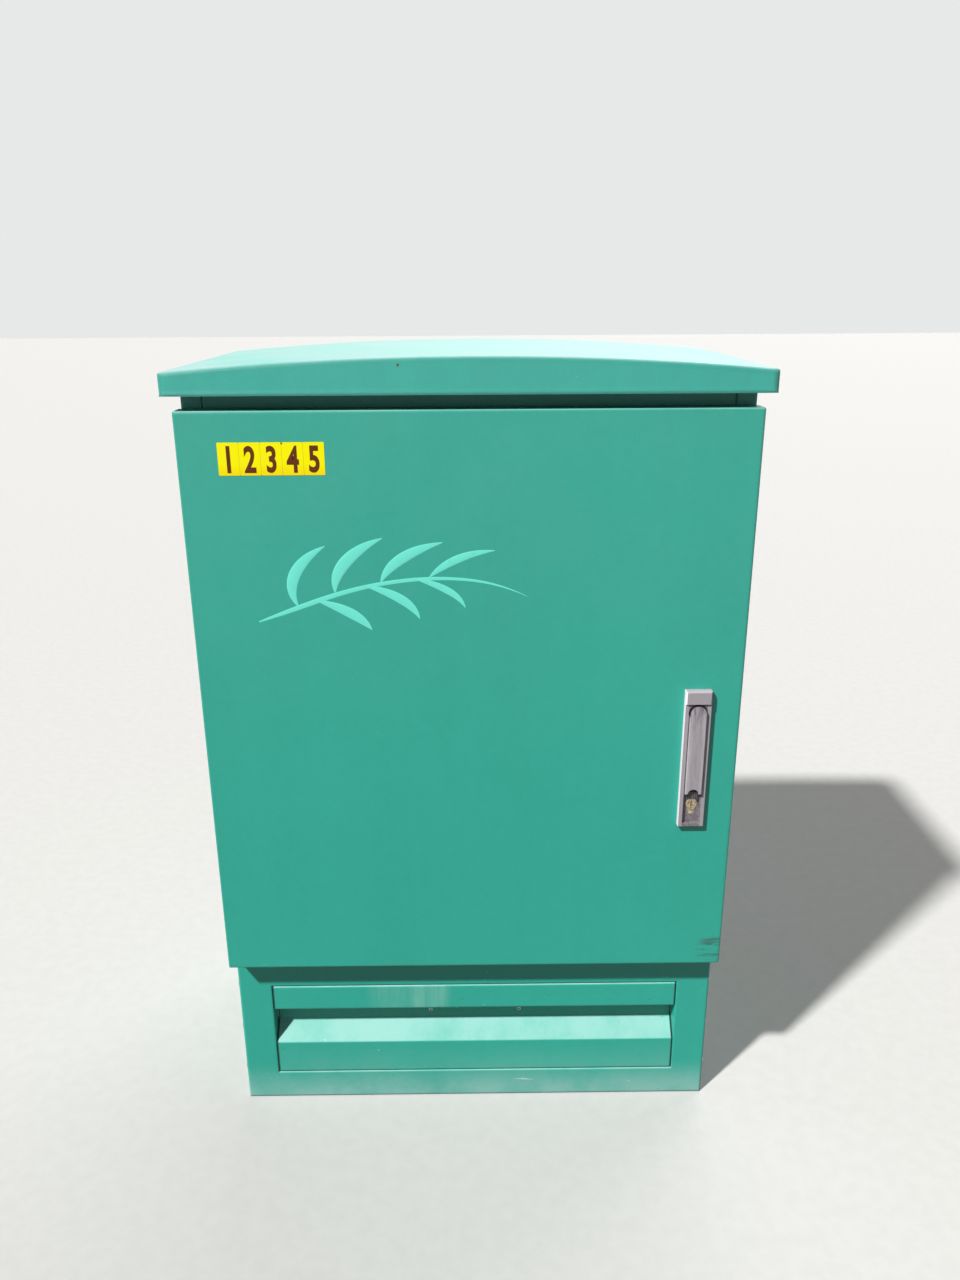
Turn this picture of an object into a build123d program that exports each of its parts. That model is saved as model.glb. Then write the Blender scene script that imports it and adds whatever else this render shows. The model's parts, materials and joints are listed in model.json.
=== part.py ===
from build123d import *
from math import acos, cos, pi, radians, sin, tan
import os

# Roadside utility cabinet: a folded steel body on a plinth, with one hinged door and an arched roof.
# Frame: +X right, +Y to the rear, +Z up. The origin is the centre of the plinth's footprint, at ground level.
# All sizes are in millimetres.

# Overall form
body_depth = 435.0
plinth_height = 290.0
body_sheet = 2.0
plinth_sheet = 2.5
sheet_gap = 0.3
plate_gap = 0.8
bend_radius = 3.5

# Door
door_width = 800.0
door_height = 891.0
door_depth = 31.0
door_standoff = 35.0
door_side_overlap = 3.5
door_bottom_gap = 6.5
door_top_gap = 25.5
door_sheet = 2.0
door_lip = 34.0
door_edge_radius = 2.5

# Roof
roof_side_overhang = 15.8
roof_front_overhang = 10.0
roof_rear_overhang = 12.2
roof_lip_drop = 5.4
roof_skirt = 30.6
roof_arch_rise = 19.0
roof_sheet = 2.0
roof_hem = 9.0

# Plinth front and its cover
plinth_stile = 55.2
plinth_bottom_rail = 53.4
plinth_opening_height = 179.4
plinth_flange = 24.0
anchor_flange = 70.0
cover_gap = 1.2
cover_return = 16.0
cover_top_strip = 46.9
cover_mouth = 68.6
cover_recess_depth = 28.0
cover_screw_spacing = 152.8
cover_screw_radius = 1.9
cover_screw_rise = 16.3
cover_screw_head_height = 2.2

# Anchor holes in the plinth's feet
anchor_side_inset = 36.5
anchor_front_inset = 52.5
anchor_hole_radius = 7.0

# Door opening of the body
frame_side_flange = 30.0
frame_top_flange = 53.0
frame_bottom_flange = 36.0
frame_lip = 12.0
seal_width = 10.0

# Swing handle
handle_edge_distance = 65.0
handle_rise = 258.0
handle_width = 40.0
handle_height = 225.5
handle_proud = 8.0
spindle_rise = 190.1
spindle_radius = 6.0
lever_width = 25.0
lever_end_rise = 57.5
lever_front = 13.0
lever_notch_radius = 8.0
lock_window_width = 24.0
lock_window_rise = 11.5
cylinder_round_radius = 8.5
cylinder_web_width = 10.0
cylinder_rise = 37.5
cylinder_foot_rise = 20.5

# Rod lock
pinion_module = 2.0
pinion_teeth = 12
rod_thickness = 5.0
rod_width = 11.0
rod_throw = 12.0
rack_reach = 33.0

# Hinges
hinge_count = 3
hinge_pin_radius = 4.0
hinge_knuckle_radius = 8.0
hinge_knuckle_length = 28.0
hinge_fit = 0.05
hinge_side_inset = 11.5
hinge_face_inset = 13.0
hinge_end_distance = 113.5
hinge_plate = 3.0

# Inside
mounting_plate_side_gap = 66.5
mounting_plate_end_gap = 101.5
mounting_plate_sheet = 2.0
rail_width = 35.0
rail_depth = 7.5
rail_sheet = 1.5
gland_plate_width = 420.0
gland_plate_depth = 150.0
gland_hole_radius = 20.0
gland_count = 4
gland_pitch = 90.0

# Sizes and places worked out from the driving sizes
body_width = door_width - 2 * door_side_overlap
body_height = door_bottom_gap + door_height + door_top_gap
roof_width = body_width + 2 * roof_side_overhang
anchor_spacing_x = body_width - 2 * anchor_side_inset
anchor_spacing_y = body_depth - 2 * anchor_front_inset
half_width = body_width / 2
half_depth = body_depth / 2
front_plane = -half_depth
door_face = front_plane - door_standoff
door_back = door_face + door_depth
door_bottom = plinth_height + door_bottom_gap
door_top = door_bottom + door_height
door_mid_z = (door_bottom + door_top) / 2
body_bottom = plinth_height
body_top = plinth_height + body_height
roof_bottom = body_top - roof_lip_drop
roof_front = door_face - roof_front_overhang
roof_rear = half_depth + roof_rear_overhang
inner_front = front_plane + body_sheet
inner_rear = half_depth - body_sheet
inner_half_width = half_width - body_sheet
handle_x = door_width / 2 - handle_edge_distance
handle_bottom = door_bottom + handle_rise
spindle_z = handle_bottom + spindle_rise
lever_bottom = handle_bottom + lever_end_rise
lock_window_bottom = handle_bottom + lock_window_rise
cylinder_centre_z = handle_bottom + cylinder_rise
cylinder_foot_z = handle_bottom + cylinder_foot_rise
hinge_first_z = door_bottom + hinge_end_distance
hinge_pitch = (door_height - 2 * hinge_end_distance) / (hinge_count - 1)
mounting_plate_width = body_width - 2 * mounting_plate_side_gap
mounting_plate_height = body_height - 2 * mounting_plate_end_gap

os.makedirs("parts", exist_ok=True)


def save(builder, name):
    """Label a finished piece and write it to its own file."""
    builder.part.label = name
    export_step(builder.part, f"parts/{name}.step")


def folded_face(points, thickness, side=Side.LEFT, radius=bend_radius):
    """A sheet's section: one line with rounded bends, thickened to one side."""
    with BuildLine() as outline:
        FilletPolyline(*points, radius=radius)
        offset(amount=thickness, side=side)
    make_face(outline.edges())


# Plinth

cover_rebate = cover_recess_depth + plinth_sheet - sheet_gap
opening_bottom = plinth_bottom_rail
opening_top = opening_bottom + plinth_opening_height
opening_half_width = half_width - plinth_stile
opening_mid_z = (opening_bottom + opening_top) / 2
opening_rim_radius = 2.0
anchor_places = GridLocations(anchor_spacing_x, anchor_spacing_y, 2, 2).locations
joggle_run = 4.5
lap_outer = half_width - plinth_sheet - sheet_gap
lap_end = plinth_flange + sheet_gap * 4
lap_start = half_depth - plinth_sheet - sheet_gap
lap_turn = half_depth - lap_end
full_depth = 2 * (lap_turn - joggle_run - bend_radius)
plinth_bolt_inset = 13.0
plinth_bolt_radius = 3.0
plinth_bolt_heights = (60.0, 145.0, 230.0)
bolt_clearance = 0.3
bolt_head_ratio = 1.8
bolt_crown_ratio = 0.6
bolt_head_height = 3.0
bolt_nut_height = 4.0

# Front and rear frames: a shallow folded pan each, returned on all four sides
with BuildPart() as plinth_front_frame:
    with Locations((0, front_plane + plinth_flange / 2, plinth_height / 2)):
        Box(body_width, plinth_flange, plinth_height)
    fillet(plinth_front_frame.faces().sort_by(Axis.Y)[0].edges(), bend_radius)
    offset(amount=-plinth_sheet, openings=plinth_front_frame.faces().sort_by(Axis.Y)[-1])
    with BuildSketch(Plane.XZ.offset(-front_plane)):
        with Locations((0, opening_mid_z)):
            Rectangle(2 * (opening_half_width + plinth_sheet), plinth_opening_height + 2 * plinth_sheet)
    extrude(amount=-cover_rebate)
    with BuildSketch(Plane.XZ.offset(-front_plane)):
        with Locations((0, opening_mid_z)):
            Rectangle(2 * opening_half_width, plinth_opening_height)
    extrude(amount=-cover_rebate, mode=Mode.SUBTRACT)
    fillet(plinth_front_frame.faces().sort_by(Axis.Y)[0].inner_wires()[0].edges(), opening_rim_radius)
    for side in (-1, 1):
        for z in plinth_bolt_heights:
            with Locations(Plane.YZ * Location((front_plane + plinth_bolt_inset, z, side * half_width))):
                Hole(plinth_bolt_radius + bolt_clearance, depth=2 * plinth_sheet)
save(plinth_front_frame, "plinth_front_frame")

with BuildPart() as plinth_back_frame:
    with Locations((0, half_depth - plinth_flange / 2, plinth_height / 2)):
        Box(body_width, plinth_flange, plinth_height)
    fillet(plinth_back_frame.faces().sort_by(Axis.Y)[-1].edges(), bend_radius)
    offset(amount=-plinth_sheet, openings=plinth_back_frame.faces().sort_by(Axis.Y)[0])
    for side in (-1, 1):
        for z in plinth_bolt_heights:
            with Locations(Plane.YZ * Location((half_depth - plinth_bolt_inset, z, side * half_width))):
                Hole(plinth_bolt_radius + bolt_clearance, depth=2 * plinth_sheet)
save(plinth_back_frame, "plinth_back_frame")

# Side panels: joggled laps tuck inside the two frames, and a wide foot takes the anchors
for side, name in ((-1, "plinth_side_left"), (1, "plinth_side_right")):
    with BuildPart() as plinth_side:
        with BuildSketch(Plane.XY.offset(plinth_sheet + sheet_gap)):
            folded_face(
                [
                    (side * lap_outer, -lap_start),
                    (side * lap_outer, -lap_turn),
                    (side * half_width, -lap_turn + joggle_run),
                    (side * half_width, lap_turn - joggle_run),
                    (side * lap_outer, lap_turn),
                    (side * lap_outer, lap_start),
                ],
                plinth_sheet,
                Side.LEFT if side > 0 else Side.RIGHT,
            )
        extrude(amount=plinth_height - 2 * (plinth_sheet + sheet_gap))
        with Locations((side * (half_width - plinth_sheet / 2), 0, plinth_height / 2)):
            Box(plinth_sheet, full_depth, plinth_height)
        with Locations((side * (half_width - anchor_flange / 2), 0, plinth_sheet / 2)):
            Box(anchor_flange, full_depth, plinth_sheet)
        with Locations((side * (half_width - plinth_flange / 2), 0, plinth_height - plinth_sheet / 2)):
            Box(plinth_flange, full_depth, plinth_sheet)
        with Locations(Plane.XY.offset(plinth_sheet)):
            with Locations(*[spot for spot in anchor_places if spot.position.X * side > 0]):
                Hole(anchor_hole_radius, depth=plinth_sheet)
        for end in (-1, 1):
            for z in plinth_bolt_heights:
                y = end * (half_depth - plinth_bolt_inset)
                with Locations(Plane.YZ * Location((y, z, side * half_width))):
                    Hole(plinth_bolt_radius + bolt_clearance, depth=4 * plinth_sheet)
    save(plinth_side, name)


def dome_bolt(radius, grip, head_height, nut_height=0.0):
    """A dome-headed bolt along Z with its nut: the head sits above Z = 0 and the grip lies below it."""
    head = radius * bolt_head_ratio
    foot = -grip - nut_height
    with BuildPart() as bolt:
        with BuildSketch(Plane.XZ):
            with BuildLine():
                Polyline(
                    (0, foot),
                    (radius, foot),
                    (radius, 0),
                    (head, 0),
                    (head, head_height / 2),
                    (head * bolt_crown_ratio, head_height),
                    (0, head_height),
                    close=True,
                )
            make_face()
        revolve(axis=Axis.Z)
        if nut_height:
            with BuildSketch(Plane.XY.offset(foot)):
                RegularPolygon(head, 6)
            extrude(amount=nut_height)
    return bolt.part


def facing(x, y, z, direction):
    """A plane at a point whose normal is the given direction."""
    return Plane(origin=(x, y, z), z_dir=direction)


def front_view(x, y, z):
    """A plane seen from the front, with local X to the right and local Y up."""
    return Plane(origin=(x, y, z), x_dir=(1, 0, 0), z_dir=(0, -1, 0))


plinth_bolt = dome_bolt(plinth_bolt_radius, 2 * plinth_sheet + sheet_gap, bolt_head_height, bolt_nut_height)
with BuildPart() as plinth_bolts:
    for side in (-1, 1):
        for end in (-1, 1):
            for z in plinth_bolt_heights:
                y = end * (half_depth - plinth_bolt_inset)
                with Locations(facing(side * half_width, y, z, (side, 0, 0))):
                    add(plinth_bolt)
save(plinth_bolts, "plinth_bolts")

# Front cover: one folded sheet with a finger recess across it, screwed to a rail behind
cover_bottom = opening_bottom + cover_gap
cover_top = opening_top - cover_gap
cover_half_width = opening_half_width - cover_gap
mouth_top = cover_top - cover_top_strip
mouth_bottom = mouth_top - cover_mouth
recess_back = front_plane + cover_recess_depth
slope_top = mouth_bottom + cover_recess_depth
cover_back = front_plane + cover_return
rail_z = slope_top + cover_screw_rise
cover_fold_radius = 3.0

with BuildPart() as plinth_cover:
    with BuildSketch(Plane.YZ.offset(-cover_half_width)):
        folded_face(
            [
                (cover_back, cover_top),
                (front_plane, cover_top),
                (front_plane, mouth_top),
                (recess_back, mouth_top),
                (recess_back, slope_top),
                (front_plane, mouth_bottom),
                (front_plane, cover_bottom),
                (cover_back, cover_bottom),
            ],
            -plinth_sheet,
            Side.LEFT,
            cover_fold_radius,
        )
    extrude(amount=2 * cover_half_width)
    for side in (-1, 1):
        with Locations(facing(side * cover_screw_spacing / 2, recess_back, rail_z, (0, -1, 0))):
            Hole(cover_screw_radius + bolt_clearance, depth=2 * plinth_sheet)
save(plinth_cover, "plinth_cover")

# Rail behind the recess: a hat section whose feet sit on the back of the front frame
rail_front = recess_back + plinth_sheet
rail_side_gap = 6.0
rail_half = opening_half_width + plinth_sheet + rail_side_gap
rail_foot = 18.0
cover_rail_height = 30.0
cover_rail_sheet = 3.0
cover_screw_places = [(side * cover_screw_spacing / 2, rail_z) for side in (-1, 1)]
cover_screw_grip = plinth_sheet + cover_rail_sheet
cover_screw = dome_bolt(cover_screw_radius, cover_screw_grip, cover_screw_head_height, cover_rail_sheet)

with BuildPart() as plinth_cover_rail:
    with BuildSketch(Plane.XY.offset(rail_z - cover_rail_height / 2)):
        folded_face(
            [
                (-rail_half - rail_foot, front_plane + plinth_sheet),
                (-rail_half, front_plane + plinth_sheet),
                (-rail_half, rail_front),
                (rail_half, rail_front),
                (rail_half, front_plane + plinth_sheet),
                (rail_half + rail_foot, front_plane + plinth_sheet),
            ],
            cover_rail_sheet,
            Side.LEFT,
            cover_rail_sheet + sheet_gap,
        )
    extrude(amount=cover_rail_height)
    for x, z in cover_screw_places:
        with Locations(facing(x, rail_front, z, (0, -1, 0))):
            Hole(cover_screw_radius + bolt_clearance, depth=2 * cover_rail_sheet)
save(plinth_cover_rail, "plinth_cover_rail")

with BuildPart() as plinth_cover_screws:
    for x, z in cover_screw_places:
        with Locations(facing(x, recess_back, z, (0, -1, 0))):
            add(cover_screw)
save(plinth_cover_screws, "plinth_cover_screws")

# Body: one wrapped sheet forms both sides, the rear and the front flanges with their lips
opening_edge = half_width - frame_side_flange
frame_opening_top = body_top - frame_top_flange
frame_opening_bottom = body_bottom + frame_bottom_flange
lip_back = front_plane + frame_lip
pitch_radius = pinion_module * pinion_teeth / 2
tooth_root_depth = 1.7
rack_root = pitch_radius + tooth_root_depth
rod_offset = rack_root + rod_width / 2
rod_gap = 2.0
rod_front = inner_front + rod_gap
rod_back = rod_front + rod_thickness
rod_notch_clearance = 4.0
rod_notch_width = rod_width + 2 * rod_notch_clearance
rod_notch_height = rod_throw + rod_notch_clearance

with BuildPart() as body_shell:
    with BuildSketch(Plane.XY.offset(body_bottom)):
        folded_face(
            [
                (opening_edge, lip_back),
                (opening_edge, front_plane),
                (half_width, front_plane),
                (half_width, half_depth),
                (-half_width, half_depth),
                (-half_width, front_plane),
                (-opening_edge, front_plane),
                (-opening_edge, lip_back),
            ],
            body_sheet,
        )
    extrude(amount=body_height)

# Holes in the left lip for the hinge screws
hinge_levels = [hinge_first_z + i * hinge_pitch for i in range(hinge_count)]
hinge_screw_radius = 2.2
hinge_screw_spread = 7.5
hinge_screw_y = lip_back - 5.0
hinge_screw_places = [z + sign * hinge_screw_spread for z in hinge_levels for sign in (-1, 1)]
with body_shell:
    for z in hinge_screw_places:
        with Locations(facing(-opening_edge, hinge_screw_y, z, (1, 0, 0))):
            Hole(hinge_screw_radius + bolt_clearance, depth=2 * body_sheet)
save(body_shell, "body_shell")

# Top and floor plates: each has a front flange that closes the door opening and turned edges on all sides
plate_half_width = inner_half_width - plate_gap
plate_rear = inner_rear - plate_gap
plate_edge = 20.0
corner_clear = opening_edge - sheet_gap


def end_plate(level, inward, flange):
    """A plate across the body with a front flange and lip; inward is -1 for the top and 1 for the floor."""
    edge = level + inward * flange
    turn = level + inward * plate_edge
    side = Side.LEFT if inward > 0 else Side.RIGHT
    with BuildPart() as plate:
        with BuildSketch(Plane.YZ.offset(-plate_half_width)):
            folded_face(
                [
                    (lip_back, edge),
                    (front_plane, edge),
                    (front_plane, level),
                    (plate_rear, level),
                    (plate_rear, turn),
                ],
                body_sheet,
                side,
            )
        extrude(amount=2 * plate_half_width)
        for end in (-1, 1):
            middle = (corner_clear + plate_half_width) / 2
            with Locations((end * middle, lip_back - body_depth / 4, level)):
                Box(
                    plate_half_width - corner_clear,
                    body_depth / 2,
                    3 * flange,
                    mode=Mode.SUBTRACT,
                )
        for end in (-1, 1):
            length = plate_rear - body_sheet - bend_radius - lip_back - sheet_gap
            y = lip_back + sheet_gap + length / 2
            with Locations((end * (plate_half_width - body_sheet / 2), y, level + inward * plate_edge / 2)):
                Box(body_sheet, length, plate_edge)
        for sign in (-1, 1):
            with Locations((handle_x + sign * rod_offset, front_plane, edge)):
                Box(rod_notch_width, 3 * frame_lip, 2 * rod_notch_height, mode=Mode.SUBTRACT)
    return plate


top_plate = end_plate(body_top, -1, frame_top_flange)

# Floor plate with a cut-out for cables, closed by a bolted gland plate with four blind grommets
gland_hole_places = [((i - (gland_count - 1) / 2) * gland_pitch, 0) for i in range(gland_count)]
gland_margin = 16.0
gland_sheet = 2.0
gland_y = 60.0
gland_top = body_bottom + body_sheet + gland_sheet
gland_screw_places = [
    (x * (gland_plate_width / 2 - gland_margin / 2), gland_y + y * (gland_plate_depth / 2 - gland_margin / 2))
    for x in (-1, 1)
    for y in (-1, 1)
]
floor_plate = end_plate(body_bottom, 1, frame_bottom_flange)
with floor_plate:
    with Locations((0, gland_y, body_bottom)):
        Box(
            gland_plate_width - 2 * gland_margin,
            gland_plate_depth - 2 * gland_margin,
            4 * body_sheet,
            mode=Mode.SUBTRACT,
        )
    for x, y in gland_screw_places:
        with Locations((x, y, body_bottom + body_sheet)):
            Hole(plinth_bolt_radius + bolt_clearance, depth=2 * body_sheet)
save(floor_plate, "floor_plate")

with BuildPart() as gland_plate:
    with Locations((0, gland_y, gland_top - gland_sheet / 2)):
        Box(gland_plate_width, gland_plate_depth, gland_sheet)
    for x, y in gland_hole_places:
        with Locations((x, gland_y + y, gland_top)):
            Hole(gland_hole_radius, depth=2 * gland_sheet)
    for x, y in gland_screw_places:
        with Locations((x, y, gland_top)):
            Hole(plinth_bolt_radius + bolt_clearance, depth=2 * gland_sheet)
save(gland_plate, "gland_plate")

grommet_wall = 2.0
grommet_rim = 4.0
grommet_rim_height = 2.5
grommet_tip_radius = 6.0
grommet_tip_height = 11.0

with BuildPart() as grommet:
    with BuildSketch(Plane.XZ):
        with BuildLine():
            Polyline(
                (0, grommet_tip_height - grommet_wall),
                (grommet_tip_radius, grommet_tip_height - grommet_wall),
                (gland_hole_radius - grommet_rim, gland_sheet),
                (gland_hole_radius + grommet_rim, gland_sheet),
                (gland_hole_radius + grommet_rim, gland_sheet + grommet_rim_height),
                (gland_hole_radius - grommet_rim + grommet_wall / 2, gland_sheet + grommet_rim_height),
                (grommet_tip_radius + grommet_wall * 0.75, grommet_tip_height),
                (0, grommet_tip_height),
                close=True,
            )
        make_face()
    revolve(axis=Axis.Z)
with BuildPart() as gland_grommets:
    for x, y in gland_hole_places:
        with Locations((x, gland_y + y, gland_top - gland_sheet)):
            add(grommet.part)
save(gland_grommets, "gland_grommets")

gland_screw = dome_bolt(plinth_bolt_radius, gland_sheet + body_sheet, bolt_head_height, bolt_nut_height)
with BuildPart() as gland_screws:
    for x, y in gland_screw_places:
        with Locations((x, y, gland_top)):
            add(gland_screw)
save(gland_screws, "gland_screws")

# Roof: an arched cap with a skirt on all sides and a hem turned in under the skirt
roof_mid_y = (roof_front + roof_rear) / 2
roof_depth = roof_rear - roof_front
roof_shoulder = roof_bottom + roof_skirt
roof_crown = roof_shoulder + roof_arch_rise
roof_corner_radius = 6.0
roof_edge_radius = 3.0


def arch_section(half, low, shoulder, crown):
    """The roof seen from the front: straight sides under a shallow arc."""
    with BuildLine() as outline:
        Polyline((-half, shoulder), (-half, low), (half, low), (half, shoulder))
        ThreePointArc((half, shoulder), (0, crown), (-half, shoulder))
    make_face(outline.edges())


with BuildPart() as roof:
    with BuildSketch(Plane.XZ.offset(-roof_front)):
        arch_section(roof_width / 2, roof_bottom, roof_shoulder, roof_crown)
    extrude(amount=-roof_depth)
    fillet(roof.edges().filter_by(Axis.Z), roof_corner_radius)
    fillet(roof.faces().sort_by(Axis.Z)[-1].edges(), roof_edge_radius)
    with BuildSketch(Plane.XZ.offset(-roof_front - roof_sheet)):
        arch_section(
            roof_width / 2 - roof_sheet,
            roof_bottom - roof_sheet,
            roof_shoulder - roof_sheet,
            roof_crown - roof_sheet,
        )
    extrude(amount=-(roof_depth - 2 * roof_sheet), mode=Mode.SUBTRACT)
    with BuildSketch(Plane.XY.offset(roof_bottom)):
        with Locations((0, roof_mid_y)):
            Rectangle(roof_width - roof_sheet, roof_depth - roof_sheet)
            Rectangle(roof_width - 2 * roof_hem, roof_depth - 2 * roof_hem, mode=Mode.SUBTRACT)
    extrude(amount=roof_sheet)
save(roof, "roof")

# Two arched rails carry the roof; bolts come up through the top plate into their feet
roof_rail_end_gap = 26.5
roof_rail_half = half_width - roof_rail_end_gap
roof_rail_foot = 26.0
roof_rail_sheet = 2.5
roof_rail_inset = 82.5
roof_rail_y = {"roof_rail_front": -half_depth + roof_rail_inset, "roof_rail_rear": half_depth - roof_rail_inset}
roof_bolt_count = 4
roof_bolt_end_distance = 70.0
roof_bolt_pitch = 2 * (roof_rail_half - roof_bolt_end_distance) / (roof_bolt_count - 1)
roof_bolt_places = [(i - (roof_bolt_count - 1) / 2) * roof_bolt_pitch for i in range(roof_bolt_count)]
arch_half = roof_width / 2
arch_sphere = (arch_half**2 + roof_arch_rise**2) / (2 * roof_arch_rise)
rail_crown = roof_crown - roof_sheet - sheet_gap
rail_end_drop = arch_sphere - (arch_sphere**2 - roof_rail_half**2) ** 0.5

for name, y in roof_rail_y.items():
    with BuildPart() as roof_rail:
        with BuildSketch(Plane.XZ.offset(-y)):
            arch_section(roof_rail_half, body_top, rail_crown - rail_end_drop, rail_crown)
        extrude(amount=-roof_rail_sheet)
        with Locations((0, y + roof_rail_foot / 2, body_top + roof_rail_sheet / 2)):
            Box(2 * roof_rail_half, roof_rail_foot, roof_rail_sheet)
        for x in roof_bolt_places:
            with Locations((x, y + roof_rail_foot / 2, body_top + roof_rail_sheet)):
                Hole(plinth_bolt_radius + bolt_clearance, depth=2 * roof_rail_sheet)
    save(roof_rail, name)

# The rail bolts need holes in the top plate
with top_plate:
    for y in roof_rail_y.values():
        for x in roof_bolt_places:
            with Locations((x, y + roof_rail_foot / 2, body_top)):
                Hole(plinth_bolt_radius + bolt_clearance, depth=2 * body_sheet)
save(top_plate, "top_plate")

roof_bolt = dome_bolt(plinth_bolt_radius, roof_rail_sheet + body_sheet, bolt_head_height, bolt_nut_height)
with BuildPart() as roof_bolts:
    for y in roof_rail_y.values():
        for x in roof_bolt_places:
            with Locations(facing(x, y + roof_rail_foot / 2, body_top - body_sheet, (0, 0, -1))):
                add(roof_bolt)
save(roof_bolts, "roof_bolts")

# Seal around the door opening, glued to the front flanges
seal_thickness = door_standoff - door_depth - sheet_gap
seal_margin = 1.0
seal_inner = opening_edge + seal_margin
with BuildPart() as door_seal:
    with BuildSketch(Plane.XZ.offset(-front_plane)):
        seal_height = frame_opening_top - frame_opening_bottom
        with Locations((0, (frame_opening_top + frame_opening_bottom) / 2)):
            RectangleRounded(
                2 * (seal_inner + seal_width), seal_height + 2 * (seal_width + seal_margin), seal_width
            )
            Rectangle(2 * seal_inner, seal_height + 2 * seal_margin, mode=Mode.SUBTRACT)
        for sign in (-1, 1):
            for edge in (frame_opening_top, frame_opening_bottom):
                with Locations((handle_x + sign * rod_offset, edge)):
                    Rectangle(rod_notch_width, 2 * rod_notch_height, mode=Mode.SUBTRACT)
    extrude(amount=seal_thickness)
save(door_seal, "door_seal")

# Door: a deep pan with its edges turned in at the rear
hinge_x = -door_width / 2 + hinge_side_inset
hinge_y = door_face + hinge_face_inset
hinge_window_margin = 8.0
hinge_window = hinge_knuckle_length * 3 + 2 * hinge_window_margin
hinge_lip_notch = 9.0
hinge_side_notch = 7.0
lip_notch_depth = door_depth - 2 * hinge_face_inset + hinge_lip_notch
side_notch_depth = door_depth - hinge_face_inset - hinge_side_notch
handle_mid_z = handle_bottom + handle_height / 2

with BuildPart() as door_skin:
    with Locations((0, door_face + door_depth / 2, door_mid_z)):
        Box(door_width, door_depth, door_height)
    fillet(door_skin.edges().filter_by(Axis.Y), door_edge_radius)
    fillet(door_skin.faces().sort_by(Axis.Y)[0].edges(), door_edge_radius)
    offset(amount=-door_sheet, openings=door_skin.faces().sort_by(Axis.Y)[-1])
    with BuildSketch(Plane.XZ.offset(-door_back + door_sheet)):
        with Locations((0, door_mid_z)):
            Rectangle(door_width - door_sheet, door_height - door_sheet)
            Rectangle(door_width - 2 * door_lip, door_height - 2 * door_lip, mode=Mode.SUBTRACT)
    extrude(amount=-door_sheet)
    for z in hinge_levels:
        with Locations((-door_width / 2 + door_sheet + door_lip / 2, door_back, z)):
            Box(door_lip, 2 * lip_notch_depth, hinge_window, mode=Mode.SUBTRACT)
        with Locations((-door_width / 2, door_back, z)):
            Box(3 * door_sheet, 2 * side_notch_depth, hinge_window, mode=Mode.SUBTRACT)

# Two hat-section stiffeners inside the door, with a row of round holes
stiffener_hinge_distance = 210.0
stiffener_lock_distance = 270.0
stiffener_places = {
    "door_stiffener_left": -door_width / 2 + stiffener_hinge_distance,
    "door_stiffener_right": door_width / 2 - stiffener_lock_distance,
}
stiffener_width = 44.0
stiffener_flange = 12.0
stiffener_depth = 18.0
stiffener_sheet = 1.5
stiffener_end_gap = 45.0
stiffener_bend_radius = 2.0
stiffener_hole_radius = 8.0
stiffener_hole_pitch = 100.0
door_inner = door_face + door_sheet
stiffener_length = door_height - 2 * stiffener_end_gap

for name, x in stiffener_places.items():
    with BuildPart() as stiffener:
        with BuildSketch(Plane.XY.offset(door_bottom + stiffener_end_gap)):
            half = stiffener_width / 2
            folded_face(
                [
                    (x - half - stiffener_flange, door_inner),
                    (x - half, door_inner),
                    (x - half, door_inner + stiffener_depth),
                    (x + half, door_inner + stiffener_depth),
                    (x + half, door_inner),
                    (x + half + stiffener_flange, door_inner),
                ],
                -stiffener_sheet,
                Side.LEFT,
                stiffener_bend_radius,
            )
        extrude(amount=stiffener_length)
        for i in range(int(stiffener_length / stiffener_hole_pitch)):
            z = door_bottom + stiffener_end_gap + stiffener_hole_pitch * (i + 0.5)
            with Locations(facing(x, door_inner + stiffener_depth, z, (0, 1, 0))):
                Hole(stiffener_hole_radius, depth=2 * stiffener_sheet)
    save(stiffener, name)

# Hinges: the middle knuckle and its cranked arm belong to the body, the outer two and the leaf to the door
arm_play = 1.0
arm_height = hinge_knuckle_length - 2 * arm_play
arm_bend_radius = 5.0
hinge_fixed_gap = 0.4
lip_inner = -opening_edge
arm_front = hinge_y - hinge_plate / 2

with BuildPart() as hinge_brackets:
    for z in hinge_levels:
        with BuildSketch(Plane.XY.offset(z - arm_height / 2)):
            with Locations((hinge_x, hinge_y)):
                Circle(hinge_knuckle_radius)
            with BuildLine():
                FilletPolyline(
                    (hinge_x, arm_front),
                    (lip_inner + hinge_plate + sheet_gap, arm_front),
                    (lip_inner + hinge_plate + sheet_gap, lip_back),
                    radius=arm_bend_radius,
                )
                offset(amount=hinge_plate, side=Side.LEFT)
            make_face()
            with Locations((hinge_x, hinge_y)):
                Circle(hinge_pin_radius + hinge_fit, mode=Mode.SUBTRACT)
        extrude(amount=arm_height)
    for z in hinge_screw_places:
        with Locations(facing(lip_inner + hinge_plate + sheet_gap, hinge_screw_y, z, (1, 0, 0))):
            Hole(hinge_screw_radius + bolt_clearance, depth=2 * hinge_plate)
save(hinge_brackets, "hinge_brackets")

hinge_screw_head_height = 2.0
hinge_screw_nut_height = 3.0
hinge_screw_grip = hinge_plate + sheet_gap + body_sheet
hinge_screw = dome_bolt(
    hinge_screw_radius, hinge_screw_grip, hinge_screw_head_height, hinge_screw_nut_height
)
with BuildPart() as hinge_screws:
    for z in hinge_screw_places:
        with Locations(facing(lip_inner + hinge_plate + sheet_gap, hinge_screw_y, z, (1, 0, 0))):
            add(hinge_screw)
save(hinge_screws, "hinge_screws")

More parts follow.
